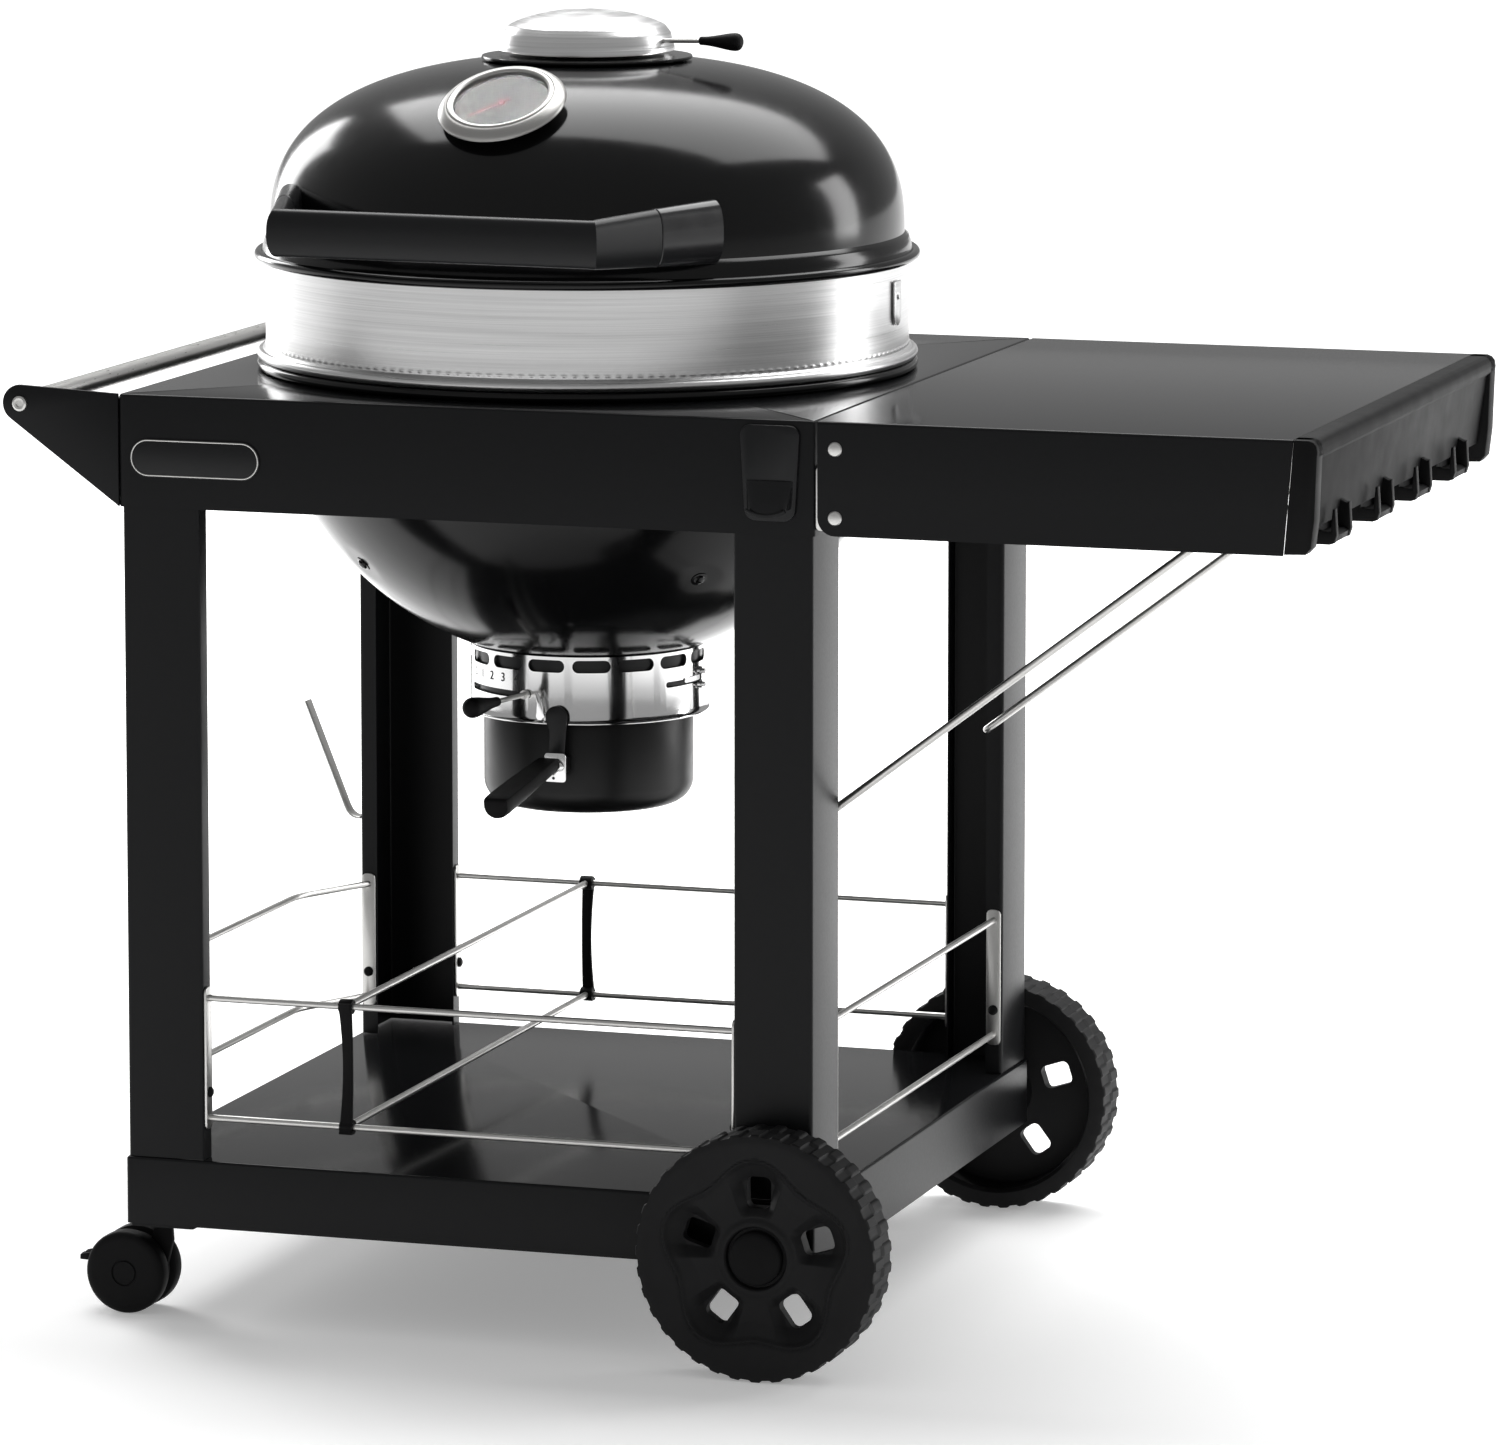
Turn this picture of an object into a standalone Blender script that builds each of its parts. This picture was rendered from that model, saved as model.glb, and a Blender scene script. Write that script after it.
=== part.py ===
"""Kettle charcoal grill on its cart: a 57 cm kettle with a ring, a lift-off lid and an ash system, in a
four-legged sheet-steel cart with a folding side shelf, storage racks, two wheels and two braked casters.

Metres, +Z up. The front faces -Y and the side shelf is on +X. While it is modelled, the kettle's axis is
X = Y = 0 and the floor is Z = 0. The root empty then shifts everything along X, so that the origin is the
middle of the footprint.
"""

import math

import bmesh
import bpy
from mathutils import Matrix, Vector

# ------------------------ driving dimensions
GAP = 0.0003  # left between two pieces that touch

KETTLE_RADIUS = 0.288  # outside of the bowl's mouth and of the ring
RIM_OVERHANG = 0.008  # how far the rolled rims stand out past the wall
TABLE_MARGIN_Y = 0.036  # table between the rim and its front edge
TABLE_MARGIN_X = 0.022  # table between the rim and its side edge
TABLE_HEIGHT = 0.8235
PANEL_HEIGHT = 0.099
SHEET = 0.002

DECK_THICKNESS = 0.060
CASTER_RADIUS = 0.037
CASTER_HEAD = 0.013  # swivel head between the caster's wheel and the deck
CASTER_TRAIL = 0.029
CASTER_INSET_X = 0.019
CASTER_INSET_Y = 0.042
CASTER_WIDTH = 0.050
WHEEL_RADIUS = 0.108
WHEEL_WIDTH = 0.052
WHEEL_INSET_X = 0.035  # axle inboard of the cart's side
WHEEL_OFF_CART = 0.006
AXLE_RADIUS = 0.006
AXLE_SKIRT = 0.014  # sheet kept below the axle's centre

LEG_WEB = 0.071
LEG_FLANGE = 0.077
LEG_LIP = 0.016
LEG_INNER = 0.018
LEG_SHEET = 0.0016

RING_HEIGHT = 0.088
RING_WALL = 0.0016
BOWL_DEPTH = 0.277  # from the mouth's plane to where the curve would close
BOWL_WALL = 0.003
LID_RISE = 0.156
LID_WALL = 0.003
LID_POWER = 2.55  # exponent of the lid's superellipse
LID_TURN = math.radians(-3.2)  # how far round the lid sits
RIM_ROLL = 0.0045  # radius of the rolled rims

COLLAR_RADIUS = 0.106
COLLAR_HEIGHT = 0.062
COLLAR_WALL = 0.0015
BUCKET_CLEARANCE = 0.010  # between the bucket and the inside of the collar
BUCKET_HEIGHT = 0.092
BUCKET_WALL = 0.0015

SHELF_LENGTH = 0.415  # tray, without its end cap
SHELF_SLANT = 0.008  # how far its outer end leans in at the bottom
SHELF_SEAM = 0.0025
CAP_LENGTH = 0.021
HOOK_PITCH = 0.219  # between the end cap's tool hooks, as a share of its length
HOOK_GAP = 0.050
HOOK_SHIFT = 0.011
PIN_INSET = 0.0155  # shelf pins from the tray's inboard end and lower edge
PIN_RADIUS = 0.004
BRACE_WIRE = 0.0035
BRACE_REACH = 0.655  # brace bar from the kettle's axis
BRACE_FOOT_DROP = 0.3545  # brace foot below the table
KEEPER_DROP = 0.0855  # brace bar below the table

HANDLE_REACH = 0.0925  # handle tube outboard of the cart's side
HANDLE_TUBE = 0.009
HANDLE_DROP = 0.012
BRACKET_NOSE = 0.0165

RACK_ROD = 0.0030
RACK_LOW = 0.037  # rods above the deck
RACK_HIGH = 0.144
RACK_BOW = 0.040

GRATE_DROP = 0.022  # cooking grate below the bowl's mouth
COAL_DROP = 0.165
GRATE_ROD = 0.003

TURN_STEPS = 36

# ------------------------ sizes worked out from them
RIM_RADIUS = KETTLE_RADIUS + RIM_OVERHANG
HALF_X = RIM_RADIUS + TABLE_MARGIN_X
HALF_Y = RIM_RADIUS + TABLE_MARGIN_Y
TABLE_UNDER = TABLE_HEIGHT - SHEET
PANEL_BOTTOM = TABLE_HEIGHT - PANEL_HEIGHT
DECK_BOTTOM = 2 * CASTER_RADIUS + CASTER_HEAD
DECK_TOP = DECK_BOTTOM + DECK_THICKNESS
BUCKET_RADIUS = COLLAR_RADIUS - COLLAR_WALL - BUCKET_CLEARANCE
AXLE_X = HALF_X - WHEEL_INSET_X
WHEEL_INNER = HALF_Y + WHEEL_OFF_CART
WHEEL_OUTER = WHEEL_INNER + WHEEL_WIDTH
CAP_PROUD = 0.004
LEG_FACE = HALF_Y - SHEET - GAP
LEG_SIDE = HALF_X - SHEET - GAP
LIP_FACE = LEG_FACE - LEG_FLANGE  # |y| of the lips
BOWL_MOUTH = TABLE_HEIGHT + GAP + 2 * RIM_ROLL
RING_BOTTOM = BOWL_MOUTH + GAP
RING_TOP = RING_BOTTOM + RING_HEIGHT
LID_BOTTOM = RING_TOP + GAP
LID_SPRING = LID_BOTTOM + 0.024  # where the lid's curve starts above its rim
LID_RADIUS = KETTLE_RADIUS - 0.004
LID_TOP = LID_SPRING + LID_RISE
PIN_X = HALF_X + SHELF_SEAM + PIN_INSET
PIN_Z = PANEL_BOTTOM + PIN_INSET + 0.001
SHELF_START = HALF_X + SHELF_SEAM
SHELF_END = SHELF_START + SHELF_LENGTH
SHELF_BOTTOM = PIN_Z - PIN_INSET
CAP_END = SHELF_END + CAP_LENGTH
BRACE_FOOT = Vector((LEG_SIDE - 0.015, 0, TABLE_HEIGHT - BRACE_FOOT_DROP))
BRACE_BAR = Vector((BRACE_REACH, 0, TABLE_HEIGHT - KEEPER_DROP))
BRACE_Y = LIP_FACE - LEG_SHEET - 0.0025 - BRACE_WIRE
HANDLE_X = -HALF_X - HANDLE_REACH
HANDLE_Z = TABLE_HEIGHT - HANDLE_DROP
MIDDLE_X = (HANDLE_X - BRACKET_NOSE + CAP_END) / 2
LEFT, RIGHT = -1, 1
FRONT, REAR = -1, 1


def bowl_radius(z, inset=0.0):
    """Radius of the bowl's outer curve at height z, an ellipse that closes BOWL_DEPTH below the mouth."""
    share = (BOWL_MOUTH - z) / (BOWL_DEPTH - inset)
    return (KETTLE_RADIUS - inset) * math.sqrt(max(0.0, 1 - share * share))


def bowl_z(radius, inset=0.0):
    """Height of the bowl's outer curve at this radius."""
    share = radius / (KETTLE_RADIUS - inset)
    return BOWL_MOUTH - (BOWL_DEPTH - inset) * math.sqrt(max(0.0, 1 - share * share))


def lid_point(angle, inset=0.0):
    """(radius, z) on the lid's superellipse; angle runs from 0 at the rim to pi/2 at the crown."""
    across, up = math.cos(angle) ** (2 / LID_POWER), math.sin(angle) ** (2 / LID_POWER)
    return (LID_RADIUS - inset) * across, LID_SPRING + (LID_RISE - inset) * up


def lid_z(radius, inset=0.0):
    share = min(1.0, radius / (LID_RADIUS - inset))
    return LID_SPRING + (LID_RISE - inset) * (1 - share**LID_POWER) ** (1 / LID_POWER)


# ------------------------ a clean scene and its collections
for old in list(bpy.data.objects):
    bpy.data.objects.remove(old, do_unlink=True)

parts = bpy.data.collections.new("kettle_grill")
helpers = bpy.data.collections.new("cutters")
bpy.context.scene.collection.children.link(parts)
bpy.context.scene.collection.children.link(helpers)


def finish(name, colour, roughness, metallic):
    """A plain material: colour, roughness and metallic value."""
    material = bpy.data.materials.new(name)
    material.use_nodes = True
    shader = material.node_tree.nodes["Principled BSDF"]
    shader.inputs["Base Color"].default_value = (*colour, 1)
    shader.inputs["Roughness"].default_value = roughness
    shader.inputs["Metallic"].default_value = metallic
    return material


POWDER_COAT = finish("powder_coat", (0.012, 0.012, 0.013), 0.38, 0.0)
ENAMEL = finish("black_enamel", (0.004, 0.004, 0.005), 0.06, 0.0)
BRUSHED = finish("brushed_steel", (0.72, 0.72, 0.71), 0.30, 1.0)
POLISHED = finish("polished_steel", (0.82, 0.82, 0.82), 0.12, 1.0)
ROD_STEEL = finish("rod_steel", (0.42, 0.41, 0.39), 0.32, 1.0)
SATIN_BLACK = finish("satin_black", (0.018, 0.019, 0.020), 0.32, 0.0)
MOULDED = finish("moulded_black", (0.014, 0.014, 0.015), 0.55, 0.0)
CAST_IRON = finish("cast_iron", (0.03, 0.03, 0.03), 0.7, 0.5)
DIAL = finish("dial_face", (0.01, 0.01, 0.01), 0.5, 0.0)
POINTER = finish("pointer_red", (0.5, 0.03, 0.02), 0.4, 0.0)
GLASS = finish("clear_glass", (0.9, 0.95, 0.95), 0.02, 0.0)

# ------------------------ bodies: one empty for each thing that moves
root = bpy.data.objects.new("grill_origin", None)
root.location.x = -MIDDLE_X
parts.objects.link(root)
bodies = {"cart": (root, Vector((0, 0, 0)))}


def body(name, parent, pivot, turn=0.0):
    """An empty on the body's joint, carried by its parent's empty and turned about Z."""
    carrier, carrier_pivot = bodies[parent]
    empty = bpy.data.objects.new("body_" + name, None)
    empty.parent = carrier
    empty.location = Vector(pivot) - carrier_pivot
    empty.rotation_euler.z = turn
    parts.objects.link(empty)
    bodies[name] = (empty, Vector(pivot))


# ------------------------ modelling helpers
def attach(obj, carrier, collection=parts):
    """Carries an object, placed in kettle coordinates, by its body's empty."""
    empty, pivot = bodies[carrier]
    obj.parent = empty
    obj.matrix_basis = Matrix.Translation(-pivot) @ obj.matrix_basis
    collection.objects.link(obj)
    return obj


def as_helper(obj):
    obj.hide_render = True
    obj.display_type = "WIRE"
    return obj


def mesh_object(name, bm, material, carrier, pivot=None, helper=False):
    """An object from a bmesh in kettle coordinates, with its origin at its pivot."""
    bmesh.ops.recalc_face_normals(bm, faces=bm.faces)
    mesh = bpy.data.meshes.new(name)
    bm.to_mesh(mesh)
    bm.free()
    mesh.shade_smooth()
    mesh.set_sharp_from_angle(angle=math.radians(35))
    if material:
        mesh.materials.append(material)
    obj = bpy.data.objects.new(name, mesh)
    pivot = bodies[carrier][1] if pivot is None else Vector(pivot)
    mesh.transform(Matrix.Translation(-pivot))
    obj.location = pivot
    attach(obj, carrier, helpers if helper else parts)
    return as_helper(obj) if helper else obj


def add_box(bm, low, high, turn=None):
    low, high = Vector(low), Vector(high)
    size = Matrix.Diagonal((*(high - low), 1))
    place = Matrix.Translation((low + high) / 2)
    bmesh.ops.create_cube(bm, size=1, matrix=(turn or Matrix.Identity(4)) @ place @ size)


def add_cylinder(bm, start, end, radius, far_radius=None, segments=20):
    start, end = Vector(start), Vector(end)
    along = end - start
    turn = along.to_track_quat("Z", "Y").to_matrix().to_4x4()
    bmesh.ops.create_cone(
        bm,
        cap_ends=True,
        segments=segments,
        radius1=radius,
        radius2=radius if far_radius is None else far_radius,
        depth=along.length,
        matrix=Matrix.Translation((start + end) / 2) @ turn,
    )


def add_outline(bm, outline, start, end, turn=None):
    """A flat outline of (u, v) points, extruded between two heights along Z, then turned into place."""
    base = [bm.verts.new((u, v, start)) for u, v in outline]
    face = bm.faces.new(base)
    grown = bmesh.ops.extrude_face_region(bm, geom=[face])
    moved = [v for v in grown["geom"] if isinstance(v, bmesh.types.BMVert)]
    bmesh.ops.translate(bm, verts=moved, vec=(0, 0, end - start))
    if turn:
        bmesh.ops.transform(bm, matrix=turn, verts=base + moved)


# An outline's u runs along X and its v along Z, and its extrusion along -Y.
# The second does the same for an outline in (Y, Z).
FACING_FRONT = Matrix.Rotation(math.pi / 2, 4, "X")
FACING_SIDE = Matrix.Rotation(math.pi / 2, 4, "Z") @ Matrix.Rotation(math.pi / 2, 4, "X")


def arc(centre, radius, start, end, steps):
    """Points of an arc, angles in degrees."""
    angles = [math.radians(start + (end - start) * i / steps) for i in range(steps + 1)]
    return [(centre[0] + radius * math.cos(a), centre[1] + radius * math.sin(a)) for a in angles]


def box(name, low, high, material, carrier):
    bm = bmesh.new()
    add_box(bm, low, high)
    return mesh_object(name, bm, material, carrier)


def cylinder(name, start, end, radius, material, carrier, far_radius=None, segments=20):
    bm = bmesh.new()
    add_cylinder(bm, start, end, radius, far_radius, segments)
    return mesh_object(name, bm, material, carrier)


def combine(obj, operation, shapes, carrier, turn=None):
    """Cuts or joins shapes, each a function that fills a bmesh, with Boolean modifiers on the object."""
    for number, shape in enumerate(shapes):
        bm = bmesh.new()
        shape(bm)
        if turn:
            bmesh.ops.transform(bm, matrix=turn, verts=bm.verts)
        tool = mesh_object(f"{obj.name}_{operation.lower()}_{number}", bm, None, carrier, helper=True)
        link(obj, operation, tool)
    return obj


def link(obj, operation, tool):
    modifier = obj.modifiers.new(tool.name, "BOOLEAN")
    modifier.operation = operation
    modifier.solver = "EXACT"
    modifier.object = tool


def boxes(*corners):
    return [lambda bm, low=low, high=high: add_box(bm, low, high) for low, high in corners]


def cylinders(*spans, segments=20):
    return [
        lambda bm, span=span: add_cylinder(bm, *span, segments=segments) for span in spans
    ]


def turned(name, profile, material, carrier, steps=TURN_STEPS, place=None, helper=False):
    """A closed (radius, z) profile turned about Z with a Screw, then placed by a matrix.

    At +X the profile runs down its outer side, so its faces point outwards.
    """
    bm = bmesh.new()
    verts = [bm.verts.new((radius, 0, z)) for radius, z in profile]
    for first, second in zip(verts, verts[1:]):
        bm.edges.new((first, second))
    if profile[0][0] > 0 or profile[-1][0] > 0:
        bm.edges.new((verts[-1], verts[0]))
    mesh = bpy.data.meshes.new(name)
    bm.to_mesh(mesh)
    bm.free()
    if material:
        mesh.materials.append(material)
    obj = bpy.data.objects.new(name, mesh)
    obj.matrix_basis = place or Matrix.Identity(4)
    screw = obj.modifiers.new("turn", "SCREW")
    screw.steps = screw.render_steps = steps
    screw.use_merge_vertices = True
    screw.merge_threshold = 1e-6
    screw.use_smooth_shade = True
    attach(obj, carrier, helpers if helper else parts)
    return as_helper(obj) if helper else obj


def rounded(points, bend, steps=4):
    """A path's points with each inner corner replaced by an arc-like bend that starts `bend` before it."""
    points = [Vector(p) for p in points]
    path = [points[0]]
    for before, corner, after in zip(points, points[1:], points[2:]):
        start = corner + (before - corner).normalized() * min(bend, (before - corner).length * 0.49)
        end = corner + (after - corner).normalized() * min(bend, (after - corner).length * 0.49)
        for i in range(steps + 1):
            t = i / steps
            path.append(start * (1 - t) ** 2 + corner * 2 * t * (1 - t) + end * t**2)
    return path + [points[-1]]


def wire(name, points, radius, material, carrier, resolution=2, helper=False):
    """A round rod along a path: a bevelled curve made into a mesh, with its caps welded."""
    curve = bpy.data.curves.new(name, "CURVE")
    curve.dimensions = "3D"
    curve.bevel_depth = radius
    curve.bevel_resolution = resolution
    curve.use_fill_caps = True
    spline = curve.splines.new("POLY")
    spline.points.add(len(points) - 1)
    for knot, point in zip(spline.points, points):
        knot.co = (*point, 1)
    source = bpy.data.objects.new(name + "_curve", curve)
    bpy.context.scene.collection.objects.link(source)
    graph = bpy.context.evaluated_depsgraph_get()
    mesh = bpy.data.meshes.new_from_object(source.evaluated_get(graph))
    bpy.data.objects.remove(source)
    bm = bmesh.new()
    bm.from_mesh(mesh)
    bpy.data.meshes.remove(mesh)
    bmesh.ops.remove_doubles(bm, verts=bm.verts, dist=1e-5)
    return mesh_object(name, bm, material, carrier, helper=helper)


def weld(obj, tools):
    """Joins helper objects to this one."""
    for tool in tools:
        link(obj, "UNION", tool)
    return obj


def solidify(obj, thickness, offset=-1.0):
    wall = obj.modifiers.new("wall", "SOLIDIFY")
    wall.thickness = thickness
    wall.offset = offset
    wall.use_even_offset = True
    return obj


def tray(name, low, high, wall, open_side, material, carrier):
    """A box of sheet, open on one side, whose outside is the given box."""
    bm = bmesh.new()
    add_box(bm, low, high)
    bmesh.ops.recalc_face_normals(bm, faces=bm.faces)
    opening = [f for f in bm.faces if f.normal.dot(Vector(open_side)) > 0.9]
    bmesh.ops.delete(bm, geom=opening, context="FACES_ONLY")
    return solidify(mesh_object_open(name, bm, material, carrier), wall)


def mesh_object_open(name, bm, material, carrier):
    """As mesh_object, for an open surface whose faces already point outwards."""
    mesh = bpy.data.meshes.new(name)
    bm.to_mesh(mesh)
    bm.free()
    mesh.materials.append(material)
    obj = bpy.data.objects.new(name, mesh)
    pivot = bodies[carrier][1]
    mesh.transform(Matrix.Translation(-pivot))
    obj.location = pivot
    return attach(obj, carrier)


# ------------------------ deck pan
axle_low = WHEEL_RADIUS - AXLE_SKIRT
deck = tray(
    "deck_pan",
    (-HALF_X, -HALF_Y, DECK_BOTTOM),
    (HALF_X, HALF_Y, DECK_TOP),
    SHEET,
    (0, 0, -1),
    POWDER_COAT,
    "cart",
)
CASTER_X = -HALF_X + CASTER_INSET_X
CASTER_Y = HALF_Y - CASTER_INSET_Y
plate_half = 0.030
plates = []
for side in (FRONT, REAR):
    edge = side * (HALF_Y - 0.0005)
    inner = side * (CASTER_Y - plate_half)
    plates.append(
        (
            (CASTER_X - CASTER_INSET_X + 0.003, min(edge, inner), DECK_BOTTOM - 0.0025),
            (CASTER_X + plate_half + 0.014, max(edge, inner), DECK_BOTTOM + 0.0015),
        )
    )
if axle_low < DECK_BOTTOM:
    for side in (FRONT, REAR):
        outer, inner = side * (HALF_Y - 0.0002), side * (HALF_Y - SHEET + 0.0002)
        plates.append(
            (
                (AXLE_X - 0.02, min(outer, inner), axle_low),
                (AXLE_X + 0.02, max(outer, inner), DECK_BOTTOM + 0.002),
            )
        )
combine(deck, "UNION", boxes(*plates), "cart")
combine(
    deck,
    "DIFFERENCE",
    cylinders(
        (
            (AXLE_X, -HALF_Y - 0.01, WHEEL_RADIUS),
            (AXLE_X, HALF_Y + 0.01, WHEEL_RADIUS),
            AXLE_RADIUS + 0.0005,
        ),
        segments=16,
    ),
    "cart",
)

# ------------------------ legs
for across, side in ((LEFT, "left"), (RIGHT, "right")):
    for along, end in ((FRONT, "front"), (REAR, "rear")):
        outer, inner = across * LEG_SIDE, across * (LEG_SIDE - LEG_WEB)
        face = along * LEG_FACE
        corners = (
            (inner, face - along * LEG_INNER),
            (inner, face),
            (outer, face),
            (outer, face - along * LEG_FLANGE),
            (outer - across * LEG_LIP, face - along * LEG_FLANGE),
        )
        bm = bmesh.new()
        low = [bm.verts.new((x, y, DECK_TOP + GAP)) for x, y in corners]
        high = [bm.verts.new((x, y, TABLE_UNDER - GAP)) for x, y in corners]
        for i in range(len(corners) - 1):
            quad = (low[i], low[i + 1], high[i + 1], high[i])
            bm.faces.new(quad if across * along < 0 else quad[::-1])
        leg = mesh_object_open(f"leg_{end}_{side}", bm, POWDER_COAT, "cart")
        solidify(leg, LEG_SHEET, offset=-1.0)

# ------------------------ table top
table = tray(
    "table_top",
    (-HALF_X, -HALF_Y, PANEL_BOTTOM),
    (HALF_X, HALF_Y, TABLE_HEIGHT),
    SHEET,
    (0, 0, -1),
    POWDER_COAT,
    "cart",
)
TABLE_HOLE = KETTLE_RADIUS + 0.0008
combine(
    table,
    "DIFFERENCE",
    cylinders(((0, 0, TABLE_UNDER - 0.02), (0, 0, TABLE_HEIGHT + 0.02), TABLE_HOLE), segments=64),
    "cart",
)

# ------------------------ cart handle
for along, end in ((FRONT, "front"), (REAR, "rear")):
    seam = -HALF_X - GAP
    nose = (HANDLE_X, HANDLE_Z)
    top_angle = 90 - math.degrees(math.atan2(HANDLE_Z + BRACKET_NOSE - TABLE_HEIGHT, seam - HANDLE_X)) / 2
    low_angle = 180 + math.degrees(math.atan2(seam - HANDLE_X, HANDLE_Z - PANEL_BOTTOM))
    outline = [(seam, PANEL_BOTTOM), (seam, TABLE_HEIGHT)]
    outline += arc(nose, BRACKET_NOSE, top_angle, low_angle + 10, 10)
    bm = bmesh.new()
    front_face = HALF_Y if along == FRONT else -HALF_Y + 0.003
    add_outline(bm, outline, front_face - 0.003, front_face, FACING_FRONT)
    bracket = mesh_object(f"handle_bracket_{end}", bm, POWDER_COAT, "cart")
    inner, outer = along * (HALF_Y - 0.030), along * (HALF_Y - 0.0005)
    flange = (
        (seam - 0.003, min(inner, outer), PANEL_BOTTOM + 0.006),
        (seam, max(inner, outer), TABLE_HEIGHT - 0.001),
    )
    combine(bracket, "UNION", boxes(flange), "cart")
tube_end = HALF_Y - 0.003 - GAP
# The front bracket carries on as a sheet along the slanted edges, as far as the rear bracket.
foot = Vector((seam - GAP, PANEL_BOTTOM + 0.0005))
head = foot + (Vector(outline[-1]) - foot) * 0.82
lift = Vector((0, 0.0025))
combine(
    bpy.data.objects["handle_bracket_front"],
    "UNION",
    [
        lambda bm: add_outline(
            bm, [foot, foot + lift, head + lift, head], -tube_end, HALF_Y - 0.0015, FACING_FRONT
        )
    ],
    "cart",
)
cylinder(
    "cart_handle",
    (HANDLE_X, -tube_end, HANDLE_Z),
    (HANDLE_X, tube_end, HANDLE_Z),
    HANDLE_TUBE,
    BRUSHED,
    "cart",
)

# ------------------------ badge and bottle opener on the front panel
BADGE = (-0.2465, TABLE_HEIGHT - 0.0550)
badge_half, badge_round = 0.0605, 0.0170
outline = arc((BADGE[0] - badge_half + badge_round, BADGE[1]), badge_round, 270, 90, 10)
outline += arc((BADGE[0] + badge_half - badge_round, BADGE[1]), badge_round, 90, -90, 10)
bm = bmesh.new()
add_outline(bm, outline, HALF_Y + GAP, HALF_Y + GAP + 0.0012, FACING_FRONT)
mesh_object("badge_plate", bm, POWDER_COAT, "cart")

OPENER_X = HALF_X - 0.0390
opener_top, opener_bottom = TABLE_HEIGHT - 0.004, TABLE_HEIGHT - 0.0870
outline = [
    (OPENER_X - 0.027, opener_bottom + 0.024),
    (OPENER_X - 0.021, opener_bottom + 0.003),
    (OPENER_X - 0.018, opener_bottom),
    (OPENER_X + 0.018, opener_bottom),
    (OPENER_X + 0.021, opener_bottom + 0.003),
    (OPENER_X + 0.027, opener_bottom + 0.024),
]
outline += arc((OPENER_X + 0.015, opener_top - 0.008), 0.008, 10, 90, 4)
outline += arc((OPENER_X - 0.015, opener_top - 0.008), 0.008, 90, 170, 4)
bm = bmesh.new()
add_outline(bm, outline, HALF_Y + GAP, HALF_Y + GAP + 0.003, FACING_FRONT)
opener = mesh_object("bottle_opener", bm, SATIN_BLACK, "cart")
hood = [
    (HALF_Y + GAP + 0.002, opener_bottom + 0.072),
    (HALF_Y + GAP + 0.010, opener_bottom + 0.060),
    (HALF_Y + GAP + 0.016, opener_bottom + 0.034),
    (HALF_Y + GAP + 0.012, opener_bottom + 0.034),
    (HALF_Y + GAP + 0.006, opener_bottom + 0.056),
    (HALF_Y + GAP + 0.002, opener_bottom + 0.060),
]


def add_hood(bm):
    mirrored = [(-y, z) for y, z in hood]
    add_outline(bm, mirrored, OPENER_X - 0.021, OPENER_X + 0.021, FACING_SIDE)


combine(opener, "UNION", [add_hood], "cart")

# ------------------------ storage racks, each two rods and two end plates
rack_low, rack_high = DECK_TOP + RACK_LOW, DECK_TOP + RACK_HIGH
plate_low, plate_high = rack_low - 0.010, rack_high + 0.010
PLATE = 0.002
PLATE_WIDTH = 0.0135
inner_face = LEG_SIDE - LEG_WEB  # |x| of the inner flanges
plate_x = inner_face - GAP
for along, end in ((FRONT, "front"), (REAR, "rear")):
    rack_y = along * (LEG_FACE - LEG_INNER / 2)
    rods = []
    for number, z in enumerate((rack_low, rack_high)):
        ends = [(across * (plate_x - PLATE / 2), rack_y, z) for across in (LEFT, RIGHT)]
        rods.append(wire(f"rack_{end}_rod_{number}", ends, RACK_ROD, None, "cart", helper=True))
    rack = box(
        f"rack_{end}",
        (-plate_x, rack_y - PLATE_WIDTH / 2, plate_low),
        (-plate_x + PLATE, rack_y + PLATE_WIDTH / 2, plate_high),
        ROD_STEEL,
        "cart",
    )
    weld(rack, rods)
    combine(
        rack,
        "UNION",
        boxes(
            (
                (plate_x - PLATE, rack_y - PLATE_WIDTH / 2, plate_low),
                (plate_x, rack_y + PLATE_WIDTH / 2, plate_high),
            )
        ),
        "cart",
    )
plate_y = LIP_FACE - GAP
for across, side in ((LEFT, "left"), (RIGHT, "right")):
    rack_x = across * (LEG_SIDE - LEG_LIP / 2)
    bow = RACK_BOW if across == LEFT else 0.0
    rods = []
    for number, z in enumerate((rack_low, rack_high)):
        end_y = plate_y - PLATE / 2
        path = [(rack_x, -end_y, z), (rack_x, end_y, z)]
        if bow:
            bulge = rack_x + across * bow
            path[1:1] = [(bulge, -end_y + 0.085, z), (bulge, end_y - 0.085, z)]
            path = rounded(path, 0.012)
        rods.append(wire(f"rack_{side}_rod_{number}", path, RACK_ROD, None, "cart", helper=True))
    half = PLATE_WIDTH / 2
    rack = box(
        f"rack_{side}",
        (rack_x - half, -plate_y, plate_low),
        (rack_x + half, -plate_y + PLATE, plate_high),
        ROD_STEEL,
        "cart",
    )
    weld(rack, rods)
    combine(
        rack,
        "UNION",
        boxes(((rack_x - half, plate_y - PLATE, plate_low), (rack_x + half, plate_y, plate_high))),
        "cart",
    )

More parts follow.
